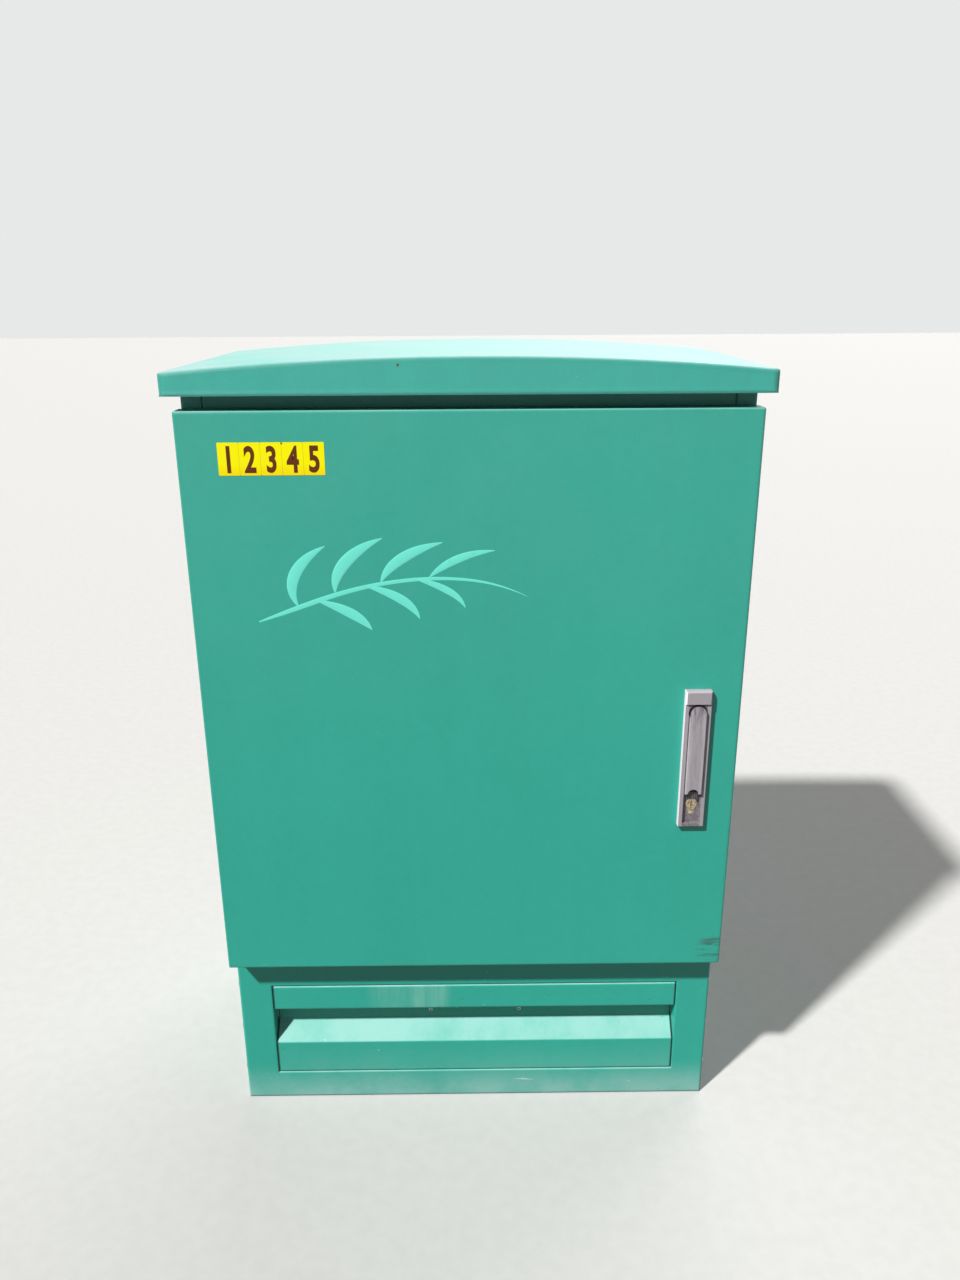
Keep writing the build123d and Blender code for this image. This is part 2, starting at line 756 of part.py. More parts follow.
leaf_width = 30.0
leaf_web_offset = 4.0
pin_overhang = 3.0
with BuildPart() as hinge_leaves:
    for z in hinge_levels:
        for sign in (-1, 1):
            low = z + sign * (hinge_knuckle_length + hinge_fixed_gap) - hinge_knuckle_length / 2
            with BuildSketch(Plane.XY.offset(low)):
                with Locations((hinge_x, hinge_y)):
                    Circle(hinge_knuckle_radius)
                with Locations((hinge_x + leaf_width / 2, door_inner + hinge_plate / 2)):
                    Rectangle(leaf_width, hinge_plate)
                with Locations((hinge_x, (door_inner + hinge_y) / 2)):
                    Rectangle(hinge_plate, hinge_y - door_inner)
                with Locations((hinge_x, hinge_y)):
                    Circle(hinge_pin_radius, mode=Mode.SUBTRACT)
            extrude(amount=hinge_knuckle_length)
        with Locations((hinge_x + leaf_width / 2 + leaf_web_offset, door_inner + hinge_plate / 2, z)):
            Box(leaf_width - 2 * leaf_web_offset, hinge_plate, hinge_knuckle_length * 3)
save(hinge_leaves, "hinge_leaves")

with BuildPart() as hinge_pins:
    for z in hinge_levels:
        with Locations((hinge_x, hinge_y, z)):
            Cylinder(hinge_pin_radius, hinge_knuckle_length * 3 + 2 * pin_overhang)
save(hinge_pins, "hinge_pins")

# Swing handle: a cast tray on the door with the lever lying over it
handle_front = door_face - handle_proud
tray_floor_depth = 3.0
tray_floor = door_face - tray_floor_depth
tray_rim_width = 6.8
tray_half_width = handle_width / 2 - tray_rim_width
tray_bottom = handle_bottom + 6.0
tray_edge_chamfer = 0.8
window_height = 46.0
window_mid_z = lock_window_bottom + window_height / 2
spindle_hole_radius = 8.4
pad_rise = 2.5
pad_slope = 30
handle_screw_radius = 2.0
handle_screw_low_rise = 3.2
handle_screw_top_distance = 9.0
handle_screw_bite = 5.0
handle_screw_places = [
    handle_bottom + handle_screw_low_rise,
    handle_bottom + handle_height - handle_screw_top_distance,
]
guide_rib_x = 12.0
guide_rib_drop = 2.0
guide_rib_rise = 105.5
guide_rib_top = handle_bottom + guide_rib_rise
cylinder_fit = 0.2


def cylinder_profile(grow):
    """The half cylinder's outline: a round head over a narrower round-footed web."""
    foot_radius = cylinder_web_width / 2 + grow
    foot = cylinder_foot_z - cylinder_centre_z + cylinder_web_width / 2
    Circle(cylinder_round_radius + grow)
    with Locations((0, foot / 2)):
        Rectangle(2 * foot_radius, -foot)
    with Locations((0, foot)):
        Circle(foot_radius)


with BuildPart() as handle_tray:
    with Locations((handle_x, door_face - handle_proud / 2, handle_mid_z)):
        Box(handle_width, handle_proud, handle_height)
    fillet(handle_tray.edges().filter_by(Axis.Y), 1.5)
    chamfer(handle_tray.faces().sort_by(Axis.Y)[0].edges(), tray_edge_chamfer)
    with BuildSketch(Plane.XZ.offset(-handle_front)):
        with Locations((handle_x, (tray_bottom + spindle_z) / 2)):
            Rectangle(2 * tray_half_width, spindle_z - tray_bottom)
        with Locations((handle_x, spindle_z)):
            Circle(tray_half_width)
    extrude(amount=-(tray_floor - handle_front), mode=Mode.SUBTRACT)
    with BuildSketch(Plane.XZ.offset(-handle_front)):
        pad_low = spindle_z + tray_half_width
        pad_high = handle_bottom + handle_height - tray_edge_chamfer
        with Locations((handle_x, (pad_low + pad_high) / 2)):
            Rectangle(handle_width - 2 * tray_edge_chamfer, pad_high - pad_low)
    extrude(amount=pad_rise, taper=pad_slope)
    for sign in (-1, 1):
        rib_depth = tray_floor - handle_front - guide_rib_drop
        x = handle_x + sign * (guide_rib_x + tray_half_width) / 2
        with Locations((x, tray_floor - rib_depth / 2, (tray_bottom + guide_rib_top) / 2)):
            Box(tray_half_width - guide_rib_x, rib_depth, guide_rib_top - tray_bottom)
    with BuildSketch(front_view(handle_x, tray_floor, cylinder_centre_z)):
        cylinder_profile(cylinder_fit)
    extrude(amount=-2 * tray_floor_depth, mode=Mode.SUBTRACT)
    with Locations(facing(handle_x, tray_floor, spindle_z, (0, -1, 0))):
        Hole(spindle_hole_radius, depth=2 * handle_proud)
    for z in handle_screw_places:
        with Locations(facing(handle_x, door_face, z, (0, 1, 0))):
            Hole(handle_screw_radius, depth=handle_screw_bite)
save(handle_tray, "handle_tray")

# The handle's hole, lock window and screw holes in the door
with door_skin:
    with Locations(facing(handle_x, door_face, spindle_z, (0, -1, 0))):
        Hole(spindle_hole_radius, depth=2 * door_sheet)
    with Locations((handle_x, door_face, window_mid_z)):
        Box(lock_window_width, 4 * door_sheet, window_height, mode=Mode.SUBTRACT)
    for z in handle_screw_places:
        with Locations(facing(handle_x, door_face, z, (0, -1, 0))):
            Hole(handle_screw_radius + bolt_clearance, depth=2 * door_sheet)
save(door_skin, "door_skin")

handle_screw_head_height = 2.4
handle_screw = dome_bolt(
    handle_screw_radius, door_sheet + handle_screw_bite - sheet_gap, handle_screw_head_height
)
with BuildPart() as handle_screws:
    for z in handle_screw_places:
        with Locations(facing(handle_x, door_inner, z, (0, 1, 0))):
            add(handle_screw)
save(handle_screws, "handle_screws")

# Lever: it lifts on a cross pin through the lug of the spindle head
pin_proud = 8.8
pin_rise = 4.0
pin_y = door_face - pin_proud
pin_z = spindle_z + pin_rise
pin_radius = 1.5
lug_radius = 3.0
lug_width = 9.0
lug_neck_drop = 1.0
cheek_radius = 3.2
cheek_half_span = 9.0
head_proud = 5.4
head_front = door_face - head_proud
head_length = 34.2
head_radius = 8.0
lever_face = door_face - lever_front
lever_under = door_face - handle_proud - sheet_gap
lever_depth = lever_under - lever_face
lever_edge_radius = 1.2
pin_end_clearance = 1.0
lug_clearance = 1.2
lug_slot_depth = lever_under - pin_y + lug_clearance

with BuildPart() as lever:
    with BuildSketch(Plane.XZ.offset(-lever_face)):
        with Locations((handle_x, (lever_bottom + spindle_z) / 2)):
            Rectangle(lever_width, spindle_z - lever_bottom)
        with Locations((handle_x, spindle_z)):
            Circle(lever_width / 2)
        with Locations((handle_x, lever_bottom)):
            Circle(lever_notch_radius, mode=Mode.SUBTRACT)
    extrude(amount=-lever_depth)
    fillet(lever.faces().sort_by(Axis.Y)[0].edges(), lever_edge_radius)
    for sign in (-1, 1):
        middle = (lug_width / 2 + cheek_half_span) / 2
        with Locations(facing(handle_x + sign * middle, pin_y, pin_z, (1, 0, 0))):
            Cylinder(cheek_radius, cheek_half_span - lug_width / 2)
    with Locations(facing(handle_x, pin_y, pin_z, (1, 0, 0))):
        Cylinder(lug_radius + sheet_gap, lug_width + 2 * sheet_gap, mode=Mode.SUBTRACT)
        Cylinder(pin_radius, 2 * cheek_half_span + pin_end_clearance, mode=Mode.SUBTRACT)
    with Locations((handle_x, lever_under, pin_z + lever_width / 4)):
        Box(lug_width + 2 * sheet_gap, 2 * lug_slot_depth, lever_width / 2, mode=Mode.SUBTRACT)
save(lever, "lever")

with BuildPart() as lever_pin:
    with Locations(facing(handle_x, pin_y, pin_z, (1, 0, 0))):
        Cylinder(pin_radius, 2 * cheek_half_span)
save(lever_pin, "lever_pin")

# Spindle: a head with a lug for the lever, a shaft through the door, and the pinion at its inner end
housing_wall = 3.0
web_thickness = 2.5
housing_cover = 2.5
housing_half_height = 40.0
housing_half_width = rod_offset + rod_width / 2 + sheet_gap + web_thickness
housing_corner_radius = 3.0
rack_chamber_front = rod_front - sheet_gap
rack_chamber_back = rod_back + sheet_gap
spindle_tail = 2.0
spindle_end = rack_chamber_back + housing_cover + spindle_tail
spindle_fit = 0.05
rack_relief = 3.2

with BuildPart() as spindle:
    with BuildSketch(Plane.XZ.offset(-head_front)):
        with Locations((handle_x, spindle_z)):
            Circle(head_radius)
    extrude(amount=-head_length)
    with BuildSketch(Plane.XZ.offset(-head_front)):
        with Locations((handle_x, spindle_z)):
            Circle(spindle_radius)
    extrude(amount=-(spindle_end - head_front))
    with Locations(facing(handle_x, pin_y, pin_z, (1, 0, 0))):
        Cylinder(lug_radius, lug_width)
    with Locations((handle_x, (pin_y + head_front) / 2, pin_z - lug_neck_drop)):
        Box(lug_width, head_front - pin_y, 2 * (lug_radius - lug_neck_drop))
    with Locations(facing(handle_x, pin_y, pin_z, (1, 0, 0))):
        Cylinder(pin_radius + spindle_fit, lug_width + pin_end_clearance, mode=Mode.SUBTRACT)
save(spindle, "spindle")

# Pinion: involute flanks on a base circle, with a gap facing each rack
pressure_angle = 20.0
base_radius = pitch_radius * cos(radians(pressure_angle))
tooth_tip_height = 1.2
tip_radius = pitch_radius + tooth_tip_height
root_radius = pitch_radius - tooth_root_depth
backlash = 0.3
flank_steps = 4


def flank_angle(radius):
    """Angle that an involute has turned through at a radius, in radians."""
    slope = acos(base_radius / radius)
    return tan(slope) - slope


def gear_point(radius, angle):
    """A point on the pinion, from its own centre."""
    return (radius * sin(angle), radius * cos(angle))


half_tooth = (pi * pinion_module / 2 - backlash) / (2 * pitch_radius) + flank_angle(pitch_radius)
gear_points = []
for i in range(pinion_teeth):
    middle = 2 * pi * (i + 0.5) / pinion_teeth
    rising = [(root_radius, half_tooth)]
    for step in range(flank_steps + 1):
        radius = base_radius + (tip_radius - base_radius) * step / flank_steps
        rising.append((radius, half_tooth - flank_angle(radius)))
    gear_points += [gear_point(radius, middle - angle) for radius, angle in rising]
    gear_points += [gear_point(radius, middle + angle) for radius, angle in reversed(rising)]

with BuildPart() as pinion:
    with BuildSketch(front_view(handle_x, rod_front, spindle_z)):
        with BuildLine():
            Polyline(*gear_points, close=True)
        make_face()
        Circle(spindle_radius, mode=Mode.SUBTRACT)
    extrude(amount=-rod_thickness)
save(pinion, "pinion")

# Rods: flat bars with rack teeth facing the pinion, thrown behind the body's front flanges
rod_tip_chamfer = 3.0
rod_inner_reach = 16.0
tooth_pitch = pi * pinion_module
tooth_flare = tan(radians(pressure_angle))
tooth_tip_x = 2 * pitch_radius - tip_radius
tooth_top_half = (tooth_pitch / 2 - backlash) / 2 - (tip_radius - pitch_radius) * tooth_flare
tooth_root_half = tooth_top_half + (rack_root - tooth_tip_x) * tooth_flare
rod_tips = {"upper_rod": frame_opening_top + rod_throw, "lower_rod": frame_opening_bottom - rod_throw}
tooth_steps = range(-int(rod_inner_reach / tooth_pitch), int(rack_reach / tooth_pitch) + 1)

for name, sign in (("upper_rod", 1), ("lower_rod", -1)):
    start = spindle_z - sign * rod_inner_reach
    with BuildPart() as rod:
        with Locations(
            (handle_x + sign * rod_offset, (rod_front + rod_back) / 2, (start + rod_tips[name]) / 2)
        ):
            Box(rod_width, rod_thickness, abs(rod_tips[name] - start))
        chamfer(rod.edges().filter_by(Axis.Y).group_by(Axis.Z)[-1 if sign > 0 else 0], rod_tip_chamfer)
        for step in tooth_steps:
            with BuildSketch(front_view(handle_x, rod_front, spindle_z + sign * step * tooth_pitch)):
                with BuildLine():
                    Polyline(
                        (sign * rack_root, -tooth_root_half),
                        (sign * tooth_tip_x, -tooth_top_half),
                        (sign * tooth_tip_x, tooth_top_half),
                        (sign * rack_root, tooth_root_half),
                        close=True,
                    )
                make_face()
            extrude(amount=-rod_thickness)
    save(rod, name)

# Lock housing: a cup on the door's inner face with a chamber for the pinion and racks, closed by a plate
housing_back = rack_chamber_back
housing_screw_radius = 2.0
housing_screw_inset = 5.0
housing_screw_z = housing_half_height - housing_screw_inset
housing_inner_radius = 2.0
chamber_play = 1.0
with BuildPart() as lock_housing:
    with Locations((handle_x, (door_inner + housing_back) / 2, spindle_z)):
        Box(2 * housing_half_width, housing_back - door_inner, 2 * housing_half_height)
    fillet(lock_housing.edges().filter_by(Axis.Y), housing_corner_radius)
    with BuildSketch(Plane.XZ.offset(-door_inner)):
        with Locations((handle_x, spindle_z)):
            RectangleRounded(
                2 * (housing_half_width - housing_wall),
                2 * (housing_half_height - housing_wall),
                housing_inner_radius,
            )
    extrude(amount=-(rack_chamber_front - web_thickness - door_inner), mode=Mode.SUBTRACT)
    with BuildSketch(Plane.XZ.offset(-rack_chamber_front)):
        with Locations((handle_x, spindle_z)):
            Circle(tip_radius + chamber_play)
            for sign in (-1, 1):
                with Locations((sign * (rod_offset - rack_relief / 2), 0)):
                    Rectangle(rod_width + rack_relief + 2 * sheet_gap, 3 * housing_half_height)
    extrude(amount=-2 * (housing_back - rack_chamber_front), mode=Mode.SUBTRACT)
    with Locations(facing(handle_x, rack_chamber_front, spindle_z, (0, 1, 0))):
        Hole(spindle_radius + spindle_fit, depth=2 * web_thickness)
    for sign in (-1, 1):
        with Locations(facing(handle_x, housing_back, spindle_z + sign * housing_screw_z, (0, 1, 0))):
            Hole(housing_screw_radius, depth=housing_back - rack_chamber_front + web_thickness / 2)
save(lock_housing, "lock_housing")

with BuildPart() as lock_cover:
    with BuildSketch(Plane.XZ.offset(-housing_back)):
        with Locations((handle_x, spindle_z)):
            RectangleRounded(2 * housing_half_width, 2 * housing_half_height, housing_corner_radius)
            Circle(spindle_radius + spindle_fit, mode=Mode.SUBTRACT)
            for sign in (-1, 1):
                with Locations((0, sign * housing_screw_z)):
                    Circle(housing_screw_radius + bolt_clearance, mode=Mode.SUBTRACT)
    extrude(amount=-housing_cover)
save(lock_cover, "lock_cover")

lock_screw_head_height = 2.2
lock_screw = dome_bolt(housing_screw_radius, housing_cover + rod_thickness, lock_screw_head_height)
with BuildPart() as lock_cover_screws:
    for sign in (-1, 1):
        with Locations(
            facing(handle_x, housing_back + housing_cover, spindle_z + sign * housing_screw_z, (0, 1, 0))
        ):
            add(lock_screw)
save(lock_cover_screws, "lock_cover_screws")

# Rod guides stand on the door's inner face, one near the free end of each rod
guide_height = 12.0
guide_wall = 3.0
guide_base = 2.0
guide_end_distance = 62.0
guide_places = {
    "rod_guide_upper": (1, door_top - guide_end_distance),
    "rod_guide_lower": (-1, door_bottom + guide_end_distance),
}
for name, (sign, z) in guide_places.items():
    x = handle_x + sign * rod_offset
    with BuildPart() as rod_guide:
        with Locations((x, (door_inner + rod_back + guide_wall) / 2, z)):
            Box(rod_width + 2 * guide_wall, rod_back + guide_wall - door_inner, guide_height)
        with Locations((x, door_inner + guide_base / 2, z)):
            Box(rod_width + 2 * guide_wall, guide_base, 3 * guide_height)
        with Locations((x, (rod_front + rod_back) / 2, z)):
            Box(
                rod_width + 2 * sheet_gap,
                rod_thickness + 2 * sheet_gap,
                2 * guide_height,
                mode=Mode.SUBTRACT,
            )
    save(rod_guide, name)

# Key lock: a half cylinder with a turning plug and cam, a holder behind the door and a sliding dust cover
cylinder_front = tray_floor
cylinder_length = 25.0
cylinder_back = cylinder_front + cylinder_length
plug_radius = 6.0
plug_fit = 0.05
keyway_width = 1.6
keyway_height = 8.0
keyway_depth = 8.0
keyway_drop = 0.5
plug_tail = 4.0

with BuildPart() as lock_cylinder:
    with BuildSketch(front_view(handle_x, cylinder_front, cylinder_centre_z)):
        cylinder_profile(0)
        Circle(plug_radius + plug_fit, mode=Mode.SUBTRACT)
    extrude(amount=-cylinder_length)
save(lock_cylinder, "lock_cylinder")

with BuildPart() as key_plug:
    with BuildSketch(front_view(handle_x, cylinder_front, cylinder_centre_z)):
        Circle(plug_radius)
    extrude(amount=-(cylinder_length + plug_tail))
    with Locations((handle_x, cylinder_front, cylinder_centre_z - keyway_drop)):
        Box(keyway_width, 2 * keyway_depth, keyway_height, mode=Mode.SUBTRACT)
save(key_plug, "key_plug")

cam_thickness = 3.0
cam_hub_wall = 3.0
cam_reach = 16.0
cam_width = 6.0
with BuildPart() as lock_cam:
    with BuildSketch(front_view(handle_x, cylinder_back + sheet_gap, cylinder_centre_z)):
        Circle(plug_radius + cam_hub_wall)
        with Locations((0, cam_reach / 2)):
            Rectangle(cam_width, cam_reach)
        Circle(plug_radius, mode=Mode.SUBTRACT)
    extrude(amount=-cam_thickness)
save(lock_cam, "lock_cam")

holder_width = 32.0
holder_depth = 14.0
holder_rise = 9.0
holder_bottom = handle_bottom + holder_rise
holder_top_wall = 6.0
holder_top = cylinder_centre_z + cylinder_round_radius + holder_top_wall
holder_corner_radius = 3.0
with BuildPart() as cylinder_holder:
    with BuildSketch(front_view(handle_x, door_inner, cylinder_centre_z)):
        with Locations((0, (holder_bottom + holder_top) / 2 - cylinder_centre_z)):
            RectangleRounded(holder_width, holder_top - holder_bottom, holder_corner_radius)
    extrude(amount=-holder_depth)
    with BuildSketch(front_view(handle_x, door_inner, cylinder_centre_z)):
        cylinder_profile(cylinder_fit)
    extrude(amount=-holder_depth, mode=Mode.SUBTRACT)
save(cylinder_holder, "cylinder_holder")

# Dust cover: a plate in the tray's grooves with a fluted thumb tab; it slides down over the lock
dust_plate_thickness = 1.8
dust_plate_back = tray_floor - sheet_gap
dust_plate_front = dust_plate_back - dust_plate_thickness
dust_tab_rise = 46.5
dust_tab_height = 13.0
dust_plate_height = 31.0
dust_tab_bottom = handle_bottom + dust_tab_rise
dust_tab_top = dust_tab_bottom + dust_tab_height
dust_plate_top = dust_tab_top + dust_plate_height
dust_tab_width = 15.5
dust_tab_proud = 7.6
dust_tab_front = door_face - dust_tab_proud
flute_count = 5
flute_radius = 0.9
dust_plate_width = 2 * (guide_rib_x - sheet_gap)
with BuildPart() as dust_cover:
    with Locations((handle_x, (dust_plate_front + dust_plate_back) / 2, (dust_tab_top + dust_plate_top) / 2)):
        Box(dust_plate_width, dust_plate_back - dust_plate_front, dust_plate_top - dust_tab_top)
    with Locations((handle_x, (dust_tab_front + dust_plate_back) / 2, (dust_tab_bottom + dust_tab_top) / 2)):
        Box(dust_tab_width, dust_plate_back - dust_tab_front, dust_tab_top - dust_tab_bottom)
    flute_pitch = dust_tab_width / flute_count
    for i in range(flute_count):
        x = handle_x + (i - (flute_count - 1) / 2) * flute_pitch
        with Locations((x, dust_tab_front, (dust_tab_bottom + dust_tab_top) / 2)):
            Cylinder(flute_radius, 2 * (dust_tab_top - dust_tab_bottom), mode=Mode.SUBTRACT)
save(dust_cover, "dust_cover")

# Inside: two perforated rails on the rear wall, a mounting plate on spacers, terminal rails with blocks
upright_plate_inset = 30.0
upright_half_spacing = mounting_plate_width / 2 - upright_plate_inset
upright_x = {"mounting_rail_left": -upright_half_spacing, "mounting_rail_right": upright_half_spacing}
upright_end_gap = 71.5
upright_length = body_height - 2 * upright_end_gap
upright_bend_radius = 4.0
upright_width = 40.0
upright_depth = 25.0
upright_sheet = 2.0
upright_hole_radius = 4.5
upright_hole_pitch = 50.0
upright_hole_end_distance = 40.0
upright_hole_steps = int((upright_length / 2 - upright_hole_end_distance) / upright_hole_pitch)
upright_hole_count = 2 * upright_hole_steps + 1
inside_mid_z = body_bottom + body_height / 2
cable_bar_rise = 75.0
cable_bar_z = body_bottom + cable_bar_rise
cable_bar_leg = 22.0
cable_bolt_z = cable_bar_z + cable_bar_leg / 2
rear_wall = half_depth - body_sheet
upright_front = rear_wall - sheet_gap - upright_depth

for name, x in upright_x.items():
    with BuildPart() as upright:
        with BuildSketch(Plane.XY.offset(inside_mid_z - upright_length / 2)):
            half = upright_width / 2
            folded_face(
                [
                    (x - half, upright_front + upright_depth),
                    (x - half, upright_front),
                    (x + half, upright_front),
                    (x + half, upright_front + upright_depth),
                ],
                -upright_sheet,
                Side.LEFT,
                upright_bend_radius,
            )
        extrude(amount=upright_length)
        for i in range(upright_hole_count):
            z = inside_mid_z + (i - (upright_hole_count - 1) / 2) * upright_hole_pitch
            with Locations(facing(x, upright_front, z, (0, -1, 0))):
                Hole(upright_hole_radius, depth=2 * upright_sheet)
        with Locations(facing(x, upright_front, cable_bolt_z, (0, -1, 0))):
            Hole(plinth_bolt_radius + bolt_clearance, depth=2 * upright_sheet)
    save(upright, name)

plate_back = upright_front
plate_front = plate_back - mounting_plate_sheet
plate_raise = 10.0
plate_mid_z = inside_mid_z + plate_raise
plate_bolt_inset = 30.0
plate_bolt_row = int((mounting_plate_height / 2 - plate_bolt_inset) / upright_hole_pitch)
plate_corner_radius = 8.0
terminal_rail_inset = 50.0
terminal_rail_length = mounting_plate_width - 2 * terminal_rail_inset
upper_row_rise = 190.0
lower_row_drop = 20.0
terminal_rail_z = {
    "terminal_rail_upper": plate_mid_z + upper_row_rise,
    "terminal_rail_lower": plate_mid_z - lower_row_drop,
}
rail_screw_inset = 15.0
rail_screw_x = terminal_rail_length / 2 - rail_screw_inset
rail_screw_places = [(sign * rail_screw_x, z) for z in terminal_rail_z.values() for sign in (-1, 1)]
earth_bar_drop = 250.0
earth_bar_z = plate_mid_z - earth_bar_drop
earth_bar_length = 300.0
earth_bar_end = 20.0
earth_standoff_x = earth_bar_length / 2 - earth_bar_end
earth_bolt_places = [(sign * earth_standoff_x, earth_bar_z) for sign in (-1, 1)]
plate_bolt_places = [
    (x, inside_mid_z + sign * plate_bolt_row * upright_hole_pitch)
    for x in upright_x.values()
    for sign in (-1, 1)
]
with BuildPart() as mounting_plate:
    with BuildSketch(front_view(0, plate_back, plate_mid_z)):
        RectangleRounded(mounting_plate_width, mounting_plate_height, plate_corner_radius)
        for x, z in plate_bolt_places + rail_screw_places + earth_bolt_places:
            with Locations((x, z - plate_mid_z)):
                Circle(plinth_bolt_radius + bolt_clearance, mode=Mode.SUBTRACT)
    extrude(amount=mounting_plate_sheet)
save(mounting_plate, "mounting_plate")

plate_bolt_grip = mounting_plate_sheet + upright_sheet
plate_bolt = dome_bolt(plinth_bolt_radius, plate_bolt_grip, bolt_head_height, bolt_nut_height)
with BuildPart() as mounting_plate_bolts:
    for x, z in plate_bolt_places:
        with Locations(facing(x, plate_front, z, (0, -1, 0))):
            add(plate_bolt)
save(mounting_plate_bolts, "mounting_plate_bolts")

# Terminal rails: top-hat strips across the plate, each with a row of terminal blocks clipped on
rail_channel = 27.0
rail_bend_radius = rail_sheet + 0.2
block_width = 12.0
block_height = 46.0
block_depth = 38.0
upper_block_count = 14
lower_block_count = 10
block_counts = {"terminal_rail_upper": upper_block_count, "terminal_rail_lower": lower_block_count}
block_waist = 0.55
block_screw_depth = 8.0
block_names = {"terminal_rail_upper": "terminal_blocks_upper", "terminal_rail_lower": "terminal_blocks_lower"}
block_gap = 0.4
block_screw_radius = 2.6
for name, z in terminal_rail_z.items():
    with BuildPart() as terminal_rail:
        with BuildSketch(Plane.YZ.offset(-terminal_rail_length / 2)):
            low, high = z - rail_width / 2, z + rail_width / 2
            folded_face(
                [
                    (plate_front - rail_depth + rail_sheet, low),
                    (plate_front - rail_depth + rail_sheet, z - rail_channel / 2),
                    (plate_front, z - rail_channel / 2),
                    (plate_front, z + rail_channel / 2),
                    (plate_front - rail_depth + rail_sheet, z + rail_channel / 2),
                    (plate_front - rail_depth + rail_sheet, high),
                ],
                rail_sheet,
                Side.LEFT,
                rail_bend_radius,
            )
        extrude(amount=terminal_rail_length)
        for sign in (-1, 1):
            with Locations(facing(sign * rail_screw_x, plate_front - rail_sheet, z, (0, -1, 0))):
                Hole(plinth_bolt_radius + bolt_clearance, depth=2 * rail_sheet)
    save(terminal_rail, name)
    block_back = plate_front - rail_depth - sheet_gap
    with BuildPart() as terminal_blocks:
        for i in range(block_counts[name]):
            x = (i - (block_counts[name] - 1) / 2) * (block_width + block_gap)
            with BuildSketch(Plane.YZ.offset(x - block_width / 2)):
                with BuildLine():
                    Polyline(
                        (block_back, z - block_height / 2),
                        (block_back - block_depth * block_waist, z - block_height / 2),
                        (block_back - block_depth, z - block_height / 4),
                        (block_back - block_depth, z + block_height / 4),
                        (block_back - block_depth * block_waist, z + block_height / 2),
                        (block_back, z + block_height / 2),
                        close=True,
                    )
                make_face()
            extrude(amount=block_width)
            with Locations(facing(x, block_back - block_depth, z, (0, -1, 0))):
                Hole(block_screw_radius, depth=block_screw_depth)
    save(terminal_blocks, block_names[name])

rail_screw_grip = rail_sheet + mounting_plate_sheet
rail_screw = dome_bolt(plinth_bolt_radius, rail_screw_grip, bolt_head_height, bolt_nut_height)
with BuildPart() as terminal_rail_screws:
    for x, z in rail_screw_places:
        with Locations(facing(x, plate_front - rail_sheet, z, (0, -1, 0))):
            add(rail_screw)
save(terminal_rail_screws, "terminal_rail_screws")

# Earth bar on two stand-offs low on the plate, each with a bolt through bar, stand-off and plate
earth_bar_width = 25.0
earth_bar_thickness = 5.0
earth_standoff = 20.0
earth_bar_front = plate_front - earth_standoff - earth_bar_thickness
earth_standoff_radius = 9.0
earth_hole_count = 8
earth_hole_pitch = 30.0
earth_hole_radius = 3.2
with BuildPart() as earth_standoffs:
    for sign in (-1, 1):
        with Locations(facing(sign * earth_standoff_x, plate_front, earth_bar_z, (0, -1, 0))):
            Cylinder(earth_standoff_radius, earth_standoff, align=(Align.CENTER, Align.CENTER, Align.MIN))
        with Locations(facing(sign * earth_standoff_x, plate_front - earth_standoff, earth_bar_z, (0, -1, 0))):
            Hole(plinth_bolt_radius + bolt_clearance, depth=earth_standoff)
save(earth_standoffs, "earth_standoffs")

with BuildPart() as earth_bar:
    with Locations((0, earth_bar_front + earth_bar_thickness / 2, earth_bar_z)):
        Box(earth_bar_length, earth_bar_thickness, earth_bar_width)
    for i in range(earth_hole_count):
        x = (i - (earth_hole_count - 1) / 2) * earth_hole_pitch
        with Locations(facing(x, earth_bar_front, earth_bar_z, (0, -1, 0))):
            Hole(earth_hole_radius, depth=2 * earth_bar_thickness)
    for x, z in earth_bolt_places:
        with Locations(facing(x, earth_bar_front, z, (0, -1, 0))):
            Hole(plinth_bolt_radius + bolt_clearance, depth=2 * earth_bar_thickness)
save(earth_bar, "earth_bar")

earth_bolt_grip = earth_bar_thickness + earth_standoff + mounting_plate_sheet
earth_bolt = dome_bolt(plinth_bolt_radius, earth_bolt_grip, bolt_head_height, bolt_nut_height)
with BuildPart() as earth_bar_bolts:
    for x, z in earth_bolt_places:
        with Locations(facing(x, earth_bar_front, z, (0, -1, 0))):
            add(earth_bolt)
save(earth_bar_bolts, "earth_bar_bolts")

# Cable tie bar: a slotted angle across the two uprights just above the floor
cable_bar_length = 2 * upright_half_spacing + upright_width
cable_bar_sheet = 2.0
cable_bar_bend_radius = 2.5
cable_bar_front = upright_front - cable_bar_sheet
cable_slot_length = 24.0
cable_slot_width = 6.0
cable_slot_pitch = 50.0
cable_slot_count = int(cable_bar_length / cable_slot_pitch)
with BuildPart() as cable_bar:
    with BuildSketch(Plane.YZ.offset(-cable_bar_length / 2)):
        folded_face(
            [
                (upright_front - upright_sheet, cable_bar_z + cable_bar_leg),
                (upright_front - upright_sheet, cable_bar_z),
                (upright_front - upright_sheet - cable_bar_leg, cable_bar_z),
            ],
            -cable_bar_sheet,
            Side.LEFT,
            cable_bar_bend_radius,
        )
    extrude(amount=cable_bar_length)
    for i in range(cable_slot_count):
        x = (i - (cable_slot_count - 1) / 2) * cable_slot_pitch
        with Locations((x, upright_front - upright_sheet - cable_bar_leg * 0.6, cable_bar_z)):
            Box(cable_slot_length, cable_slot_width, 6 * cable_bar_sheet, mode=Mode.SUBTRACT)
    for sign in (-1, 1):
        with Locations(facing(sign * upright_half_spacing, cable_bar_front, cable_bolt_z, (0, -1, 0))):
            Hole(plinth_bolt_radius + bolt_clearance, depth=2 * cable_bar_sheet)
save(cable_bar, "cable_bar")

